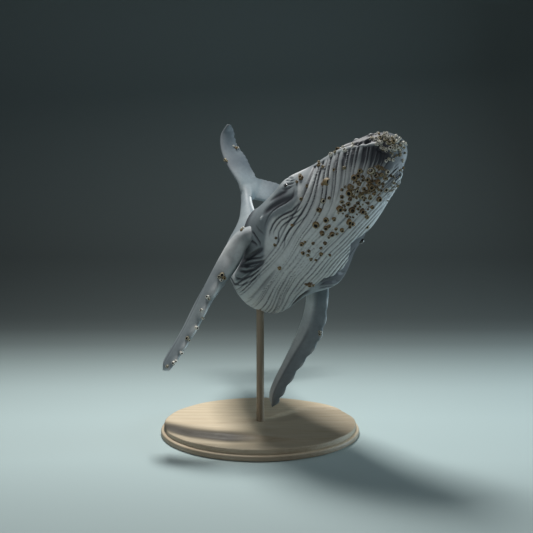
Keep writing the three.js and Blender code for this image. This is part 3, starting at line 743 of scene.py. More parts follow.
def headHeight(distance, arc, halfAround):  # lips, mouth line, knobs, middle ridge and blowholes
    h = headValues
    d = np.broadcast_to(distance[:, None], arc.shape)
    beyond = np.abs(arc) - lineArc("jaw", d)
    fromTop = halfAround[:, None] - np.abs(arc)
    onHead = plateau(8, 20, 80, 98, d)
    height = h["lip"] * bell((beyond - 2.6) / 2.6) * onHead
    rough = np.sin(d / 1.5 + 2 * np.sin(arc / 2.1)) * np.sin(arc / 1.3 + d / 3.1)
    rough = rough + 0.6 * np.sin(d / 2.7 - arc / 1.9)
    height += h["roughEdge"] * rough * bell((arc + 22 + 0.25 * (d - 12)) / 10) * plateau(8, 16, 48, 64, d)
    height -= h["mouthLine"] * bell((beyond - 6.2) / 0.9) * onHead * smooth(36, 50, d)
    height += h["upperLip"] * bell((beyond - 10) / 3) * onHead
    height -= h["snoutDip"] * bell((d - 26) / 14) * plateau(0, 6, 16, 26, beyond)
    sideKnob = bell(np.hypot(offStep(d, h["sideKnobStep"]), beyond - 17) / 2)
    height += h["sideKnob"] * sideKnob * plateau(12, 22, 70, 85, d)
    topKnob = bell(np.hypot(offStep(d, h["topKnobStep"]), fromTop) / 2.1)
    height += h["topKnob"] * topKnob * plateau(10, 20, 72, 84, d)
    height += h["ridge"] * bell(fromTop / 5) * plateau(8, 30, 90, 110, d)
    height += h["blowholeMound"] * bell(np.hypot(d - h["blowholes"], fromTop) / 10)
    slit = np.hypot((d - h["blowholes"]) / 6, (fromTop - 3 - 0.15 * (d - 96)) / 1.3)
    return height - h["blowholeSlit"] * bell(slit)


keelValues = {"top": 1.4, "bottom": 1.2, "width": 2.2, "begin": (380, 440)}


def keelHeight(distance, arc, halfAround):  # sharp keels along the tail stock
    k = keelValues
    top = k["top"] * bell((halfAround[:, None] - np.abs(arc)) / k["width"])
    return (top + k["bottom"] * bell(arc / k["width"])) * smooth(*k["begin"], distance[:, None])


def paleUnderside(distance, arc, pleated):  # the pale paint reaches past the pleats onto the neck folds
    d = distance[:, None]
    right, left = (lineArc(key, distance)[:, None] for key in ("rightEdge", "leftEdge"))
    region = (1 - smooth(-2.5, 2.5, arc - right)) * smooth(*pleatValues["leftLip"], arc + left)
    region = region * (1 - smooth(*pleatValues["end"], d))
    past = smooth(84, 92, d)
    return pleated * (1 - past) + region * past


paintedShadeSpots = [  # distance, length, arc, width and strength of the painted shade; below 0 it is a painted highlight
    (112, 20, 60, 12, 0.25),  # neck
    (158, 18, 32, 10, 0.3),  # fold in front of the armpit
    (95, 8, 73, 5, -0.8),  # eyelids
]
skinToneAndPaintedShade = {
    "upperJaw": 0.34, "chin": 0.6, "underLip": 0.36, "armpit": 0.85, "leftFold": 0.6, "keelSide": 0.5,
    "hollow": 1.35,  # millimetres deep where the painted shade is full
    # the pleated throat gets a painted highlight
    "pleatLight": 0.14, "range": (-0.6, 1),
    # back and belly tones are the paint; the fade on the low belly is painted shade and the extra tone on the
    # left flank is painted light
    "backTone": 0.1, "bellyTone": 0.9, "lowBellyShade": 0.45, "leftFlankLight": 0.12,
    "lipShade": 0.85, "chinShade": 0.8,
}


def underLip(distance, arc):  # painted shade below the right lip
    d = np.broadcast_to(distance[:, None], arc.shape)
    return plateau(-30, -10, 5, 9, arc - lineArc("jaw", d)) * plateau(14, 26, 62, 88, d)


# painted shade on the upper jaw, chin, neck, armpit, left fold, under the lip and on the left side of the
# tail stock; painted highlight on the eyelids
def paintedShadePatches(distance, arc):
    w = skinToneAndPaintedShade
    d = np.broadcast_to(distance[:, None], arc.shape)
    upperJaw = w["upperJaw"] * smooth(-1, 3, np.abs(arc) - lineArc("jaw", d)) * (1 - smooth(60, 90, d))
    chin = w["chin"] * bell(np.hypot((d - 14) / 20, arc / 30))
    spots = sum(strength * bell((d - at) / length) * bell((arc - across) / width)
                for at, length, across, width, strength in paintedShadeSpots)
    armpit = w["armpit"] * bell((d - 178) / 24) * plateau(27, 38, 112, 132, arc)
    leftFold = w["leftFold"] * bell((d - 141) / 11) * plateau(-80, -60, -48, -38, arc)
    keelSide = w["keelSide"] * smooth(395, 430, d) * (1 - smooth(-7, -2, arc))
    lip = w["underLip"] * underLip(distance, arc)
    return np.maximum(upperJaw, chin) + spots + armpit + leftFold + lip + keelSide


def buildBody():
    b, w = bodyStations, skinToneAndPaintedShade
    rings, columns = b["rings"], b["columns"]
    fine = np.linspace(0, 1, 2000)
    packed = np.cumsum(np.interp(fine, b["densePlace"], b["denseShare"]))
    share = np.interp(np.arange(1, rings) / (rings - 1), packed / packed[-1], fine)
    along = b["flukeSeam"] * np.concatenate([[0], share, [1]])
    reach = b["bellyReach"]
    dense = np.linspace(-reach, reach, b["bellyColumns"])
    sparse = np.linspace(reach, 2 * math.pi - reach, columns - b["bellyColumns"] + 2)[1:-1]
    skin = smoothSkin(along[:, None], (math.pi + np.concatenate([dense, sparse]))[None, :])
    axis = bodyFrame(along)[0]
    skin[0], skin[rings] = axis[0], axis[rings]
    around = np.linalg.norm(np.diff(np.concatenate([skin, skin[:, :1]], 1), axis=1), axis=2)
    walked = np.concatenate([np.zeros((rings + 1, 1)), np.cumsum(around, 1)], 1)
    middle = b["bellyColumns"] // 2
    arc = 0.5 * (walked[:, middle - 1] + walked[:, middle])[:, None] - walked[:, :-1]
    perimeter = walked[:, -1:]
    arc = np.where(arc < -perimeter / 2, arc + perimeter, arc)
    halfAround = perimeter[:, 0] / 2
    distance = along * b["length"]
    d = distance[:, None]
    height, pleated = pleatHeight(distance, arc)
    height = height + creaseHeight(distance, arc) + headHeight(distance, arc, halfAround)
    height += keelHeight(distance, arc, halfAround)
    uneven = np.sin(d / 7.1 + 1.3 * np.sin(arc / 9.7)) * np.sin(arc / 6.3 + d / 21)
    height += b["unevenness"] * uneven
    height *= np.clip(d / 12, 0, 1) * np.clip(perimeter / 60, 0, 1)
    normal = unit(np.cross(np.roll(skin, -1, 1) - np.roll(skin, 1, 1), np.gradient(skin, axis=0)))
    outward = np.sign(np.sum(normal * (skin - axis[:, None]), -1, keepdims=True))
    normal = normal * np.where(outward == 0, 1, outward)
    normal[[0, rings]] = 0
    piece, ring, column = wrapGrid("whale_body_skin", skin + normal * height[..., None])
    # painted shading: painted shade from the patches and in hollows, painted highlight on raised skin and on
    # the pleated throat
    paintedShading = paintedShadePatches(distance, arc) - height / w["hollow"] - w["pleatLight"] * pleated
    storeValues(piece, "paintedShading", np.clip(paintedShading, *w["range"])[ring, column])
    # painted shade on the tone at the chin, under the lip and on the low belly; painted light on the left
    # flank
    chin = w["chinShade"] * bell(np.hypot((d - 12) / 14, arc / 26))
    pale = paleUnderside(distance, arc, pleated) * (1 - w["lipShade"] * underLip(distance, arc)) * (1 - chin)
    tone = w["backTone"] + pale * (w["bellyTone"] - w["lowBellyShade"] * smooth(110, 175, d))
    tone = tone + w["leftFlankLight"] * (1 - smooth(-60, -35, arc)) * (1 - smooth(160, 220, d))
    storeValues(piece, "tone", tone[ring, column])
    return piece


body = buildBody()
finishPiece(body, castResin, smoothAngles["body"])
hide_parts("whale_body")
print("body made")

# Flippers: centre line from root to tip, half chord and half thickness

flipperForm = {  # the same on both flippers
    "knobs": 9, "knobHeight": 2.2,
    "crown": 1.05, "frontWeight": 0.3, "ridge": 0.5, "valley": 0.35, "tipLength": 0.8,
    "rings": 190, "columns": 56,
}
# painted light and shade on the flippers: lit root and front, painted shade in the groove, on the shaded half
# and under the root, painted highlight on the knobs, a lighter lit half
flipperPaint = {
    "tone": 0.16, "rootLight": 0.45, "frontLight": 1.2, "litSideTone": 0.36,
    "valleyShade": 0.45, "knobLight": 0.6, "halfShade": 0.2, "underShade": 0.6,
}
rightFlipper = {
    "along": [0, 0.11, 0.24, 0.43, 0.62, 0.84, 1],
    "at": [(1.5, -34, 213), (-18, -43.8, 205), (-31.2, -51, 183.8), (-52.9, -60, 149.6), (-69.1, -66, 118.6),
           (-85.2, -70, 92.2), (-93.2, -71, 80)],
    "half": [15.5, 10, 10, 14.9, 14.8, 14.4, 10.8],
    "thick": [8.5, 9, 10.4, 6.2, 5, 4, 2.8],
    "forward": (0.55, -0.75, 0.3),
    "gable": 0.25,
    "darkEdge": 0.0,
}
leftFlipper = {
    "along": [0, 0.12, 0.28, 0.45, 0.65, 0.85, 1],
    "at": [(56, 3, 167), (60.5, 5, 148), (57.3, 7, 121), (50.2, 10, 99.3), (33.5, 14, 69.7), (17.2, 17, 38.8),
           (13, 18, 21.5)],
    "half": [16.5, 13.4, 13.1, 13.8, 10.4, 8, 3.4],
    "thick": [7.5, 7.5, 6.2, 5.4, 4.6, 3.6, 2.6],
    "forward": (0.8, -0.5, 0.3),
    "gable": 0.5,
    "darkEdge": 1.0,
}


def buildFlipper(name, values):
    form, paint = flipperForm, flipperPaint
    along, turn = stepsAlong(form["rings"]), stepsAround(form["columns"])
    out = unit(lineStep(values, along))
    forward = np.array(values["forward"])
    lead = unit(forward - out * np.sum(out * forward, -1, keepdims=True))
    up = np.cross(out, lead)
    tip = np.sqrt(np.clip(1 - smooth(0.9, 1.01, along) ** 2, 0, 1))
    wave = np.abs(np.sin(along * math.pi * form["knobs"])) ** 1.5
    knob = form["knobHeight"] * wave * smooth(0.15, 0.25, along)
    half, thick = (keyed(values["along"], values[key], along) * tip for key in ("half", "thick"))
    centre = keyed(values["along"], values["at"], along)
    ahead, above = np.cos(turn), np.sin(turn)
    reach = half[:, None] * ahead + knob[:, None] * np.maximum(0, ahead) ** 4
    gable = np.sign(above) * (1 - np.abs(ahead - 0.05)) * form["crown"]
    rise = thick[:, None] * (above + values["gable"] * (gable - above)) * (1 + form["frontWeight"] * ahead)
    ridge = form["ridge"] * bell((ahead - 0.35) / 0.18) - form["valley"] * bell((ahead - 0.05) / 0.12)
    rise = rise + (ridge * above)[None, :] * smooth(0.1, 0.3, along)[:, None]
    grid = centre[:, None] + lead[:, None] * reach[..., None] + up[:, None] * rise[..., None]
    grid[0] = centre[0]
    grid[-1] = centre[-1] + out[-1] * form["tipLength"]
    piece, ring, column = wrapGrid(name, grid)
    # painted shade on the shaded half of the flipper and under its root
    dark = values["darkEdge"]
    shade = dark * smooth(-0.3, 0.35, ahead)[None, :]
    under = smooth(0.4, 0.8, -above)[None, :] * bell((along - 0.25) / 0.09)[:, None] * (1 - dark)
    # painted shading: shade in the groove and on the shaded half, highlight on the knobs
    paintedShading = paint["valleyShade"] * bell((ahead - 0.05) / 0.15)[None, :] * smooth(0.3, 0.45, along)[:, None]
    paintedShading = paintedShading - paint["knobLight"] * (np.maximum(0, ahead) ** 6)[None, :] * wave[:, None]
    paintedShading = paintedShading + paint["halfShade"] * shade + paint["underShade"] * under
    # painted light on the root and the front, and on the lit half
    light = paint["rootLight"] * bell((along - 0.2) / 0.07)[:, None]
    light = light * (1 + paint["frontLight"] * smooth(-0.3, 0.3, ahead))[None, :]
    tone = (paint["tone"] + light) * (1 - shade) * (1 - under) + paint["litSideTone"] * dark * (1 - shade)
    storeValues(piece, "paintedShading", paintedShading[ring, column])
    storeValues(piece, "tone", tone[ring, column])
    return piece


rightArm = buildFlipper("right_flipper_skin", rightFlipper)
finishPiece(rightArm, castResin)
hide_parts("right_flipper")
leftArm = buildFlipper("left_flipper_skin", leftFlipper)
finishPiece(leftArm, castResin)
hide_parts("left_flipper")
print("flippers made")

# Tail fluke: leading edge, trailing edge and half thickness from the right tip to the left tip

flukeValues = {
    "along": [-1, -0.9, -0.7, -0.45, -0.2, -0.08, 0, 0.08, 0.2, 0.45, 0.7, 0.9, 1],
    "front": [(-49.7, 283, 361), (-58.6, 281, 345.5), (-57.2, 273, 322.2), (-47.6, 263, 299.6),
              (-33.4, 254, 277), (-28.6, 251, 263.5), (-25.5, 253, 260), (-16, 255, 256), (-10.3, 259, 254),
              (10.5, 268, 249.3), (31.7, 284, 240.2), (52.2, 302, 234), (64, 313, 234)],
    "rear": [(-43, 284, 360.6), (-39.9, 290, 354), (-35.2, 294, 334), (-22.8, 294, 316.5), (-14, 289, 298.1),
             (-9.3, 284, 291.2), (-8.1, 281, 287.4), (-5.2, 285, 285.9), (2.1, 293, 284), (26.6, 302, 277.2),
             (46.6, 309, 262.5), (58.1, 313, 246.9), (65, 315, 238)],
    "thick": [1.6, 2.2, 3.2, 4.2, 5.2, 5.2, 5, 5.2, 5, 4, 3, 2, 1.4],
    "serration": 0.8, "notches": 26,
    "roundness": 0.6,
    "stockEnd": 0.985, "overlap": 0.008,
    "flare": 0.9, "flareBegin": (0.905, 0.965), "flatten": 0.75,
    "voxel": 0.7,
    "junction": (-15, 266, 274), "junctionReach": 22, "junctionBegin": (5, 13),
    "blend": (0.8, 45), "even": (0.35, 2),  # factor and rounds of smoothing
    "seamGap": 0.05,
    # painted shade on the blades, and where it begins and is full
    "bladeShade": 0.42, "bladeShadeBegin": (24, 62), "rootTone": 0.1,
    "columns": 56, "rings": 220, "stockColumns": 72, "stockRings": 60,
}


def bladeGrid(front, chord, length, up, thick, roundness, columns):  # rings from the front edge and back
    turn = stepsAround(columns)
    back = 0.5 - 0.5 * np.cos(turn)
    plump = (1 - back) ** roundness + 0.12
    grid = (front[:, None] + chord[:, None] * (back[None, :] * length[:, None])[..., None]
            + up[:, None] * (thick[:, None] * (np.sin(turn) * plump)[None, :])[..., None])
    for end in (0, -1):
        grid[end] = 0.5 * (front[end] + front[end] + chord[end] * length[end])
    return grid


def buildBlade(values):
    along = stepsAlong(values["rings"], -1, 1)
    front = keyed(values["along"], values["front"], along)
    chord = keyed(values["along"], values["rear"], along) - front
    length = np.linalg.norm(chord, axis=1, keepdims=True)
    chord = chord / length
    notch = 0.5 - 0.5 * np.cos(along * math.pi * values["notches"])
    length = length[:, 0] - values["serration"] * notch ** 2
    up = unit(np.cross(lineStep(values, along, "front", -1, 0.02), chord))
    thick = keyed(values["along"], values["thick"], along)
    grid = bladeGrid(front, chord, length, up, thick, values["roundness"], values["columns"])
    return wrapGrid("tail_fluke_skin", grid)[0]


def buildStock(values):
    start = bodyStations["flukeSeam"] - values["overlap"]
    share = stepsAlong(values["stockRings"])
    along = start + (values["stockEnd"] - start) * share
    angle = stepsAround(values["stockColumns"])
    skin = smoothSkin(along[:, None], angle[None, :])
    centre, _, right, back = bodyFrame(along)
    keel = (keelValues["top"] * (bell(angle / 0.3) + bell((angle - 2 * math.pi) / 0.3))
            - keelValues["bottom"] * bell((angle - math.pi) / 0.3))
    skin = skin + back[:, None] * keel[None, :, None]
    off = skin - centre[:, None]
    spread = smooth(*values["flareBegin"], along)[:, None]
    flatten = values["flatten"] * spread * (1 - np.abs(np.cos(angle))[None, :])
    sideways = np.sum(off * right[:, None], -1) * (1 + values["flare"] * spread)
    upward = np.sum(off * back[:, None], -1) * (1 - flatten)
    skin = centre[:, None] + right[:, None] * sideways[..., None] + back[:, None] * upward[..., None]
    skin = skin + (centre[:, None] - skin) * (1 - np.sqrt(1 - np.clip(share, 0, 1) ** 3))[:, None, None]
    skin[0], skin[-1] = centre[0], centre[-1]
    return wrapGrid("stock_end", skin)[0]


def addSmoothing(piece, name, settings, groupName=""):
    smoothing = piece.modifiers.new(name, "SMOOTH")
    smoothing.factor, smoothing.iterations = settings
    smoothing.vertex_group = groupName


def buildFluke(values):
    fluke = joinPieces([buildBlade(values), buildStock(values)], "tail_fluke_skin")
    remesh = fluke.modifiers.new("oneSkin", "REMESH")
    remesh.mode = "VOXEL"
    remesh.voxel_size = values["voxel"] * mm
    applyModifiers(fluke)
    v = readVertices(fluke) / mm
    seam, tailward, _, _ = bodyFrame(np.array(bodyStations["flukeSeam"]))
    near = bell(np.linalg.norm(v - np.array(values["junction"]), axis=1) / values["junctionReach"])
    near = near * smooth(*values["junctionBegin"], (v - seam) @ tailward)
    group = fluke.vertex_groups.new(name="junction")
    for index, weight in enumerate(near):
        if weight > 0.02:
            group.add([index], float(weight), "REPLACE")
    addSmoothing(fluke, "blend", values["blend"], "junction")
    addSmoothing(fluke, "even", values["even"])
    applyModifiers(fluke)
    fluke.vertex_groups.clear()
    makeActive(fluke)
    bpy.ops.object.mode_set(mode="EDIT")
    bpy.ops.mesh.select_all(action="SELECT")
    bpy.ops.mesh.bisect(plane_co=(seam + values["seamGap"] * tailward) * mm, plane_no=tailward,
                        use_fill=True, clear_inner=True)
    bpy.ops.object.mode_set(mode="OBJECT")
    facesOutward(fluke)
    # painted shade on the blades away from the junction
    out = smooth(*values["bladeShadeBegin"], np.linalg.norm(readVertices(fluke) / mm - seam, axis=1))
    storeValues(fluke, "paintedShading", values["bladeShade"] * out)
    storeValues(fluke, "tone", values["rootTone"] * (1 - out))
    return fluke


fluke = buildFluke(flukeValues)
finishPiece(fluke, castResin, smoothAngles["blade"])
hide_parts("tail_fluke")
print("fluke made", len(fluke.data.polygons))

# Back fin: a small swept blade on the middle of the back

finValues = {
    "start": 0.6, "end": 0.69, "height": 12.8, "sink": 4, "sweep": 0.012,
    "thick": 4.8, "taper": [0.5, 0.25, 0.1], "roundness": 0.5, "tone": 0.1,
    "columns": 32, "rings": 40,
}


def finPlace(along, rise):
    return smoothSkin(np.array([along]), np.array([0.0]))[0] + bodyFrame(np.array(along))[3] * rise


def buildFin(values):
    start, end, high, sink = (values[key] for key in ("start", "end", "height", "sink"))
    up, stops = stepsAlong(values["rings"]), [0, 0.5, 1]
    middle = start + 0.45 * (end - start)
    front = keyed(stops, [finPlace(start, -sink), finPlace(middle, 0.45 * high),
                          finPlace(end - values["sweep"], high)], up)
    rear = keyed(stops, [finPlace(end, -sink), finPlace(end, 0.4 * high), finPlace(end, high)], up)
    thick = values["thick"] * keyed(stops, values["taper"], up)
    right = np.broadcast_to(bodyFrame(np.array(middle))[2], front.shape)
    grid = bladeGrid(front, rear - front, np.ones(len(up)), right, thick, values["roundness"],
                     values["columns"])
    piece, ring, _ = wrapGrid("back_fin", grid)
    storeValues(piece, "paintedShading", np.zeros(len(ring)))
    storeValues(piece, "tone", np.full(len(ring), values["tone"]))
    return piece


finishPiece(buildFin(finValues), castResin, smoothAngles["blade"])
print("back fin made")

# Eyes

eyeValues = {"along": 0.19, "angle": 1.64, "diameter": 5.4, "proud": 0.6, "flatten": 0.97,
             "sides": 32, "rings": 20}


def buildEye(name, angle):
    radius = eyeValues["diameter"] / 2
    surface = smoothSkin(np.array(eyeValues["along"]), np.array(angle))
    inward = unit(bodyFrame(np.array(eyeValues["along"]))[0] - surface)
    deselectAll()
    bpy.ops.mesh.primitive_uv_sphere_add(segments=eyeValues["sides"], ring_count=eyeValues["rings"],
                                         radius=radius * mm)
    eye = bpy.context.object
    eye.name = name
    v = readVertices(eye)
    v[:, 2] *= np.where(v[:, 2] > 0, eyeValues["flatten"], 1)
    writeVertices(eye, v + (surface + inward * (radius - eyeValues["proud"])) * mm)
    return eye


eyeBead = makeEyeMaterial(eyeColours)
for name, node, angle in (("right_eye_bead", "right_eye", eyeValues["angle"]),
                          ("left_eye_bead", "left_eye", 2 * math.pi - eyeValues["angle"])):
    eye = buildEye(name, angle)
    finishPiece(eye, eyeBead)
    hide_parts(node)
print("eyes made")

# Base and post

baseValues = {
    "diameter": 210, "plinthBottom": 0.5, "plinthTop": 5.7, "plinthCorner": 2.2, "plinthFootCorner": 0.6,
    "faceMargin": 6,
    "topBottom": 6.0, "topHeight": 11.6, "topRadius": 101.7, "topCorner": 1.4,
    "groove": 1.2, "grooveDepth": 0.8,
    "carved": (4, 1.2), "rim": (1.2, 0.3),  # carving and the rim's painted shade begin and are full so far from the edge
    "insets": 46, "around": 180,
    # painted shade on the edges of the top and the plinth, and the heights on the plinth where it fades
    "edgeShade": 0.55, "plinthShadeHeights": (4.2, 5.4),
}
postValues = {"bottom": 6.0, "top": 154, "radius": 4, "corner": 0.6, "around": 56}


def selectFaces(piece, test):
    bpy.ops.object.mode_set(mode="OBJECT")
    for face in piece.data.polygons:
        face.select = bool(test(face.center / mm, face.normal))
    for edge in piece.data.edges:
        edge.select = False
    for vertex in piece.data.vertices:
        vertex.select = False
    for face in piece.data.polygons:
        if face.select:
            for index in face.vertices:
                piece.data.vertices[index].select = True
    bpy.ops.object.mode_set(mode="EDIT")
    bpy.ops.mesh.select_mode(type="FACE")


def selectEdges(piece, test):
    bpy.ops.object.mode_set(mode="EDIT")
    bpy.ops.mesh.select_mode(type="EDGE")
    bpy.ops.mesh.select_all(action="DESELECT")
    bpy.ops.object.mode_set(mode="OBJECT")
    places = readVertices(piece) / mm
    for edge in piece.data.edges:
        edge.select = bool(test(places[edge.vertices[0]], places[edge.vertices[1]]))
    bpy.ops.object.mode_set(mode="EDIT")


def addCylinder(name, around, radius, bottom, top):
    deselectAll()
    bpy.ops.mesh.primitive_cylinder_add(vertices=around, radius=radius * mm, depth=(top - bottom) * mm,
                                        location=(0, 0, (bottom + (top - bottom) / 2) * mm))
    piece = bpy.context.object
    piece.name = name
    bpy.ops.object.transform_apply(location=True, rotation=True, scale=True)
    return piece


def bevelRim(piece, height, offset, segments):
    selectEdges(piece, lambda a, b: abs(a[2] - height) < 0.01 and abs(b[2] - height) < 0.01)
    bpy.ops.mesh.bevel(offset=offset * mm, segments=segments, affect="EDGES")


def buildPlinth(values):
    bottom, top = values["plinthBottom"], values["plinthTop"]
    plinth = addCylinder("base_plinth_turned", values["around"], values["diameter"] / 2, bottom, top)
    bevelRim(plinth, top, values["plinthCorner"], 6)
    bevelRim(plinth, bottom, values["plinthFootCorner"], 2)
    selectFaces(plinth, lambda c, n: abs(n.z) > 0.99 and (c.z > top - 0.1 or c.z < bottom + 0.1))
    bpy.ops.mesh.inset(thickness=values["faceMargin"] * mm)
    bpy.ops.object.mode_set(mode="OBJECT")
    v = readVertices(plinth) / mm
    # painted shade on the plinth's side below its top edge
    outside = np.hypot(v[:, 0], v[:, 1]) > values["diameter"] / 2 - 1
    paintedWoodShade = values["edgeShade"] * (1 - smooth(*values["plinthShadeHeights"], v[:, 2])) * outside
    storeValues(plinth, "paintedWoodShade", paintedWoodShade)
    return plinth


dunes = [  # wind-blown ridges: the line of each crest, its fall towards the viewer and the run of that fall; on the first, how far its painted shade reaches
    {"x": [-105, -84, -66, -30, 0, 40], "y": [-15, -31, -42, -55, -59, -70],
     "fall": [3.4, 3.2, 3.2, 3, 2, 0.6], "run": [16, 10, 8, 6, 7, 12], "paintedWoodShade": [34, 36, 38, 38, 38, 38]},
    {"x": [-5, 11, 27, 45, 68, 90, 104], "y": [4, 16, 33, 51, 59, 50, 44],
     "fall": [0, 1, 1.8, 2.2, 2.2, 2.4, 2.6], "run": [7, 8, 9, 9, 9, 8, 7]},
]


def beforeCrest(dune, x, y):  # how far a point lies in front of the crest
    return keyed(dune["x"], dune["y"], x) - y


def duneHeight(x, y):
    height = 0.25 * np.sin(y / 5.2 + 1.5 * np.sin(x / 26) + 0.6 * np.sin(x / 11)) - 0.4
    for dune in dunes:
        before = beforeCrest(dune, x, y)
        fall, run = keyed(dune["x"], dune["fall"], x), keyed(dune["x"], dune["run"], x)
        height = height - fall * smooth(0, run, before) * (1 - 0.7 * smooth(8, 40, before))
        height = height + 0.25 * fall * bell((before + 4) / 7)
    return height * (1 - 0.45 * smooth(0.85, 1, np.hypot(x, y) / baseValues["topRadius"]))


def paintedDuneShade(x, y):  # painted shade in the hollow in front of each crest, and a painted shadow of the whale in front of the second crest
    near, far = (beforeCrest(dune, x, y) for dune in dunes)
    length = keyed(dunes[0]["x"], dunes[0]["paintedWoodShade"], x)
    hollow = smooth(-0.7 * length, 3, near) * (1 - 0.7 * smooth(6, 22, near))
    hollow = hollow * (1 - 0.6 * smooth(45, 65, near)) * (1 - smooth(-32, 20, x))
    return np.maximum(hollow, 0.42 * smooth(-14, 8, x) * smooth(-4, 8, far))


def buildTop(values):
    upper, radius = values["topHeight"], values["topRadius"]
    top = addCylinder("base_top_carved", values["around"], radius, values["topBottom"], upper)
    bevelRim(top, upper, values["topCorner"], 5)
    selectFaces(top, lambda c, n: n.z < -0.99)
    bpy.ops.mesh.inset(thickness=values["groove"] * mm)
    bpy.ops.transform.translate(value=(0, 0, values["grooveDepth"] * mm))
    selectFaces(top, lambda c, n: n.z > 0.99 and c.z > upper - 0.1)
    step = (radius - values["topCorner"]) / (values["insets"] + 1) * mm
    for _ in range(values["insets"]):
        bpy.ops.mesh.inset(thickness=step)
    bpy.ops.mesh.poke()
    bpy.ops.object.mode_set(mode="OBJECT")
    v = readVertices(top) / mm
    begin, full = (upper - depth for depth in values["carved"])
    v[:, 2] += duneHeight(v[:, 0], v[:, 1]) * smooth(begin, full, v[:, 2])
    writeVertices(top, v * mm)
    begin, full = (radius - depth for depth in values["rim"])
    rim = smooth(begin, full, np.hypot(v[:, 0], v[:, 1]))
    # painted shade on the rim and in the hollows, and a painted shadow of the whale
    storeValues(top, "paintedWoodShade", np.maximum(values["edgeShade"] * rim, paintedDuneShade(v[:, 0], v[:, 1])))
    return top


def buildPost(values):
    post = addCylinder("post_dowel", values["around"], values["radius"], values["bottom"], values["top"])
    selectEdges(post, lambda a, b: abs(a[2] - b[2]) < 0.01)
    bpy.ops.mesh.bevel(offset=values["corner"] * mm, segments=3, affect="EDGES")
    bpy.ops.object.mode_set(mode="OBJECT")
    storeValues(post, "paintedWoodShade", np.zeros(len(post.data.vertices)))
    return post


plinth = buildPlinth(baseValues)
finishPiece(plinth, woodPlinth, smoothAngles["turned"])
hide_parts("base_plinth")
top = buildTop(baseValues)
finishPiece(top, woodTop, smoothAngles["carved"])
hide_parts("base_top")
post = buildPost(postValues)
finishPiece(post, woodPost, smoothAngles["turned"])
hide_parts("post")
pinSteel = (0.6, 0.61, 0.62)
carriedMaterials = {
    "base_felt": makeFelt(feltColours),
    "post_screw": makeMetal("screwBrass", (0.7, 0.5, 0.2), metalValues),
    "right_flipper_pin": makeMetal("rightPinSteel", pinSteel, metalValues),
    "left_flipper_pin": makeMetal("leftPinSteel", pinSteel, metalValues),
    "fluke_pin": makeMetal("flukePinSteel", pinSteel, metalValues),
}
for node, material in carriedMaterials.items():
    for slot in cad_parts[node].material_slots:
        slot.material = material
print("base and post made")

# Barnacles: one low volcano shape, copied onto the places read from the picture

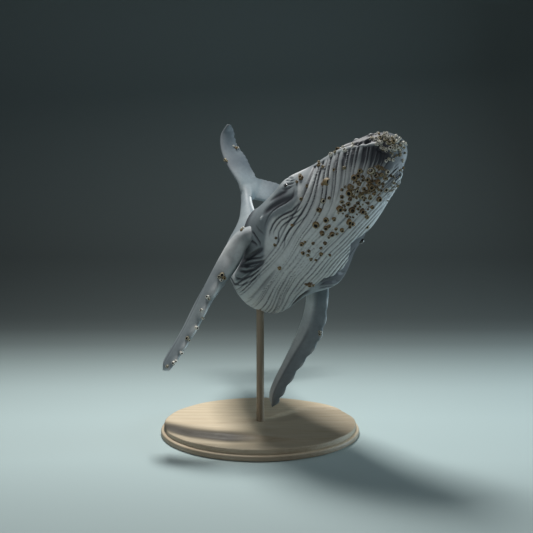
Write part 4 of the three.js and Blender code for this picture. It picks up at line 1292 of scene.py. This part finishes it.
barnacleSpots = {  # picture x, y and radius in millimetres
    "throat": [
        (301, 178, 2.4), (319, 165, 1.7), (323, 167, 1.3), (307, 186, 1.3), (301, 199, 1.6), (327, 182, 2.9),
        (323, 184, 1.7), (334, 170, 1.2), (344, 168, 1.6), (323, 201, 1.9), (329, 198, 1.3), (319, 210, 2.0),
        (292, 225, 1.2), (276, 238, 1.1), (275, 245, 1.3), (316, 225, 2.8), (326, 220, 2.3), (334, 219, 1.7),
        (326, 228, 2.0), (329, 226, 1.4), (322, 233, 2.1), (332, 234, 2.2), (329, 237, 1.6), (336, 229, 1.4),
        (337, 234, 1.3), (342, 230, 1.9), (302, 244, 1.9), (305, 242, 1.2), (313, 243, 1.5), (325, 243, 1.7),
        (321, 248, 1.4), (309, 251, 1.3), (303, 253, 1.5), (308, 255, 1.5), (311, 259, 1.5), (316, 260, 1.2),
        (321, 254, 1.7), (330, 255, 1.2), (342, 190, 1.2), (345, 187, 1.4), (350, 187, 2.3), (349, 193, 2.9),
        (342, 197, 1.7), (342, 202, 1.6), (340, 209, 2.5), (348, 204, 1.9), (350, 199, 1.7), (352, 210, 2.6),
        (355, 206, 1.5), (358, 203, 1.4), (347, 216, 1.4), (349, 222, 2.5), (353, 224, 1.8), (350, 227, 1.5),
        (362, 211, 2.1), (365, 213, 1.6), (367, 217, 1.7), (354, 178, 2.6), (358, 176, 1.9), (360, 171, 1.9),
        (359, 184, 1.7), (357, 191, 2.0), (361, 196, 2.2), (371, 171, 2.9), (378, 167, 1.7), (382, 168, 1.5),
        (376, 175, 2.0), (368, 180, 1.9), (372, 181, 1.6), (368, 185, 1.6), (371, 187, 2.5), (378, 182, 2.2),
        (387, 172, 2.0), (385, 178, 1.6), (386, 190, 1.9), (379, 199, 2.6), (374, 194, 1.4), (370, 198, 1.6),
        (368, 203, 1.4), (372, 207, 1.8), (367, 227, 1.4), (279.5, 268, 1.8), (338, 213, 1.2),
        (364, 189, 1.6), (366, 192, 1.4), (353, 196, 1.5), (356, 197, 1.2), (345, 210, 1.4), (383, 184, 1.3),
        (375, 187, 1.5), (381, 175, 1.7), (391, 176, 1.2), (364, 200, 1.2), (358, 209, 1.2), (297, 182, 1.3)],
    "chin": [
        (376, 139, 1.7), (380, 138, 1.5), (384, 136, 1.7), (388, 137, 1.4), (381, 142, 1.6), (385, 140, 1.6),
        (389, 143, 2.0), (393, 142, 1.8), (387, 143, 1.3), (397, 141, 1.5), (383, 149, 1.5), (390, 148, 1.6),
        (394, 149, 1.5), (396, 147, 1.8), (398, 147, 1.4), (400, 150, 1.4), (403, 143, 1.5), (402, 146, 1.2),
        (392, 138, 1.2), (396, 136, 1.2), (377, 143, 1.2), (389, 159, 1.3), (393, 160, 1.4), (386, 161, 1.2),
        (386, 151, 1.2), (403, 160, 1.2), (400, 155, 1.1), (387, 133, 1.1), (373, 138, 1.1), (379, 134, 1.0),
        (392, 146, 1.3), (399, 139, 1.2), (405, 153, 1.0)],
    "jaw": [
        (345, 150, 1.8), (343, 147.5, 1.4), (338, 149.5, 1.9), (331, 154.5, 2.0), (353, 147, 1.8),
        (353, 144, 1.2), (335, 152, 1.3), (319, 162, 1.3), (300, 175, 1.4)],
    "flank": [(397, 186, 1.4), (403, 168, 1.0), (310, 284, 2.4), (306, 284, 1.5), (313, 285, 1.4)],
    "rightArm": [
        (222, 275, 2.0), (219, 277, 1.6), (224, 278, 1.7), (221, 280, 1.5), (207.6, 297, 1.6),
        (209, 299, 1.2), (201.8, 310.5, 1.5), (204.5, 317, 1.6), (202.5, 318, 1.2), (196.5, 328, 1.7),
        (198, 330, 1.2), (187.3, 338.4, 1.6), (189, 340, 1.3), (181.5, 352.5, 1.6), (183, 354, 1.2),
        (173.7, 363, 1.6), (176, 361, 1.2), (167.5, 366.5, 1.4), (246, 223, 1.4), (243, 228.5, 1.7),
        (241.5, 230, 1.3)],
    "tail": [(231.5, 126, 1.3), (236, 148, 1.8), (238, 148, 1.3), (233.5, 146, 1.3), (225, 160, 1.8),
             (227, 161, 1.3)],
}
barnacleShape = {
    "sides": 11, "height": 0.6, "sink": 0.3, "topRadius": 0.78,
    "rimWidth": 0.1, "rimRise": 0.25, "rimTop": 0.14, "wallThickness": 0.05,
    "mouthDepth": 0.6, "mouthInset": 0.2,
    "bands": [(0.52, 1.0), (0.58, 0.64), (0.7, 0.6), (0.9, 0.3)], "foot": 0.05,  # radius, part of the cup
    "grow": 1.3, "tintSpread": 0.25, "boxMargin": 0.2,
    "turn": 6.28, "widths": (0.85, 1.1), "heights": (0.75, 1.15), "wobble": 0.1,  # limits of the random draws
}
barnaclePatches = {  # small ones at random: picture x, y, half width, half height, tilt, count, radii
    "chin": [(388, 141, 19, 9, 0.25, 90, 0.6, 1.15)],
    "throat": [(369, 183, 22, 15, -0.5, 76, 0.6, 1.3), (356, 207, 18, 12, -0.7, 26, 0.6, 1.0)],
    "edge": [(395, 183, 24, 4, -1.2, 34, 0.4, 0.8), (397, 151, 8, 7, 0, 22, 0.5, 0.95)],
    "leftArm": [(321, 332, 2, 3, 0.4, 3, 0.9, 1.5)],
}
barnaclePaleness = {"throat": 0.3, "chin": 0.95, "edge": 0.6, "leftArm": 0.8, "jaw": 0.7, "flank": 0.4,
                    "rightArm": 0.85, "tail": 0.6}


def buildBarnacle(values):  # unit radius; foot at zero
    deselectAll()
    bpy.ops.mesh.primitive_cone_add(vertices=values["sides"], radius1=1, radius2=values["topRadius"],
                                    depth=values["height"] + values["sink"],
                                    location=(0, 0, (values["height"] - values["sink"]) / 2))
    shell = bpy.context.object
    bpy.ops.object.transform_apply(location=True, rotation=True, scale=True)
    selectFaces(shell, lambda c, n: n.z > 0.9 and c.z > 0)
    bpy.ops.mesh.inset(thickness=values["rimWidth"])
    bpy.ops.transform.translate(value=(0, 0, values["rimRise"]))
    bpy.ops.mesh.inset(thickness=values["rimTop"])
    bpy.ops.mesh.inset(thickness=values["wallThickness"])
    bpy.ops.transform.translate(value=(0, 0, -values["mouthDepth"]))
    bpy.ops.mesh.inset(thickness=values["mouthInset"])
    bpy.ops.object.mode_set(mode="OBJECT")
    v = readVertices(shell)
    radius = np.hypot(v[:, 0], v[:, 1])
    reaches, parts = zip(*values["bands"])
    part = np.select([radius < reach for reach in reaches], parts, values["foot"])
    return shell, v, part


def patchSpots(patch, chance):
    x, y, wide, high, tilt, count, least, most = patch
    spots = []
    for _ in range(count):
        turn, reach = chance.uniform(0, 2 * math.pi), math.sqrt(chance.random())
        a, b = wide * reach * math.cos(turn), high * reach * math.sin(turn)
        spots.append((x + a * math.cos(tilt) - b * math.sin(tilt),
                      y + a * math.sin(tilt) + b * math.cos(tilt), chance.uniform(least, most)))
    return spots


def scatterBarnacles(name, host, key, seed):
    values = barnacleShape
    chance = random.Random(seed)
    spots = list(barnacleSpots.get(key, []))
    for patch in barnaclePatches.get(key, []):
        spots += patchSpots(patch, chance)
    tree = BVHTree.FromObject(host, bpy.context.evaluated_depsgraph_get())
    shell, shape, part = buildBarnacle(values)
    lowest, highest = (np.array(corner) + side * values["boxMargin"] * mm
                       for corner, side in zip(cadBox, (1, -1)))
    copies, tints = [], []
    for x, y, size in spots:
        place, normal, _, _ = tree.ray_cast(*pictureRay(x, y))
        if place is None:
            continue
        copy = shell.copy()
        copy.data = shell.data.copy()
        bpy.context.collection.objects.link(copy)
        spin = Matrix.Rotation(chance.uniform(0, values["turn"]), 3, "Z")
        turn = normal.to_track_quat("Z", "Y").to_matrix() @ spin
        squash = np.array([chance.uniform(*values[key]) for key in ("widths", "widths", "heights")])
        wobble = np.array([1 + chance.uniform(-values["wobble"], values["wobble"]) for _ in shape])
        v = shape * squash * size * values["grow"] * mm
        v[:, :2] *= wobble[:, None]
        v = v @ np.array(turn).T + np.array(place)
        writeVertices(copy, np.clip(v, lowest, highest))
        copies.append(copy)
        tint = min(1, max(0, chance.gauss(barnaclePaleness[key], values["tintSpread"])))
        tints.append(np.full(len(shape), tint))
    bpy.data.objects.remove(shell)
    cluster = joinPieces(copies, name)
    storeValues(cluster, "part", np.tile(part, len(copies)))
    storeValues(cluster, "tint", np.concatenate(tints))
    finishPiece(cluster, barnacleCrust, smoothAngles["crust"])


clusters = [  # name, what it sits on, list of spots, seed
    ("throat_barnacles", body, "throat", 3),
    ("chin_barnacles", body, "chin", 5),
    ("edge_barnacles", body, "edge", 6),
    ("left_arm_barnacles", leftArm, "leftArm", 12),
    ("jaw_barnacles", body, "jaw", 7),
    ("flank_barnacles", body, "flank", 9),
    ("flipper_barnacles", rightArm, "rightArm", 11),
    ("fluke_barnacles", fluke, "tail", 13),
]
for cluster in clusters:
    scatterBarnacles(*cluster)
print("barnacles made")

# Floor, backdrop and light

studioValues = {
    "sweep": [  # metres behind the base, share of the floor colour; this paints the falloff of light, darker in front, with a painted dark backdrop behind
        (-0.4, 0.58), (-0.22, 0.79), (-0.1, 0.96), (0.05, 0.96), (0.2, 0.83), (0.3, 0.68), (0.42, 0.5),
        (0.56, 0.33), (0.75, 0.22), (1.0, 0.21), (1.35, 0.18), (1.8, 0.36)],
    "floorColour": (0.48, 0.6, 0.605),
    "roughness": 0.7,
    "floorSize": 8, "backDistance": 1.8, "wallHeight": 2.6, "bend": 0.9, "bendSegments": 24,
    "world": (0.62, 0.68, 0.72), "worldStrength": 0.04,
    "aim": (0, 0, 0.16),
    "key": {"place": (-0.07, 0.26, 1.1), "size": 0.27, "power": 12.6, "colour": (1, 0.985, 0.96)},
    "front": {"place": (0.25, -1.5, 0.85), "size": 0.5, "power": 1.6, "colour": (1, 0.99, 0.97)},
    "fill": {"place": (-0.9, -1.5, 0.3), "size": 1.2, "power": 3.5, "colour": (0.97, 0.98, 1)},
    "left": {"place": (-1.15, -0.3, 0.7), "size": 0.5, "power": 1.0, "colour": (1, 0.99, 0.98)},
    "rim": {"place": (1.2, 0.3, 0.22), "size": 0.42, "power": 8, "colour": (0.72, 0.9, 1)},
}


def buildFloor(values):
    deselectAll()
    bpy.ops.mesh.primitive_plane_add(size=values["floorSize"], location=(0, 0, 0))
    floor = bpy.context.object
    floor.name = "studio_floor"
    v = readVertices(floor)
    v[:, 1] = np.where(v[:, 1] > 0, values["backDistance"], v[:, 1])
    writeVertices(floor, v)
    selectEdges(floor, lambda a, b: min(a[1], b[1]) > 0)
    bpy.ops.mesh.extrude_region_move(TRANSFORM_OT_translate={"value": (0, 0, values["wallHeight"])})
    selectEdges(floor, lambda a, b: min(a[1], b[1]) > 0 and max(a[2], b[2]) < 1)
    bpy.ops.mesh.bevel(offset=values["bend"], segments=values["bendSegments"], affect="EDGES")
    bpy.ops.object.mode_set(mode="OBJECT")
    material, tree, shader, coords = startMaterial("studioSweep")
    place = addNode(tree, "ShaderNodeSeparateXYZ", {"Vector": coords})
    # painted falloff of light along the floor and up the backdrop
    first, last = values["sweep"][0][0], values["sweep"][-1][0]
    away = remap(tree, place.outputs["Y"], first, last, 0, 1)
    stops = [((y - first) / (last - first), (share,) * 3) for y, share in values["sweep"]]
    tone = mixColours(tree, 1.0, addRamp(tree, away, stops), values["floorColour"], "MULTIPLY")
    finishMaterial(tree, shader, tone, values["roughness"])
    makeActive(floor)
    bpy.ops.object.shade_smooth()
    floor.data.materials.append(material)


def addLamp(values, target):
    bpy.ops.object.light_add(type="AREA", location=values["place"])
    lamp = bpy.context.object
    lamp.data.energy = values["power"]
    lamp.data.size = values["size"]
    lamp.data.color = values["colour"]
    lamp.rotation_euler = (Vector(target) - lamp.location).to_track_quat("-Z", "Y").to_euler()


buildFloor(studioValues)
for key in ("key", "front", "fill", "left", "rim"):
    addLamp(studioValues[key], studioValues["aim"])
world = bpy.data.worlds.new("studioAir")
bpy.context.scene.world = world
world.use_nodes = True
background = world.node_tree.nodes["Background"]
background.inputs["Color"].default_value = opaque(studioValues["world"])
background.inputs["Strength"].default_value = studioValues["worldStrength"]
bpy.context.scene.view_settings.view_transform = "Standard"
print("floor and light placed")
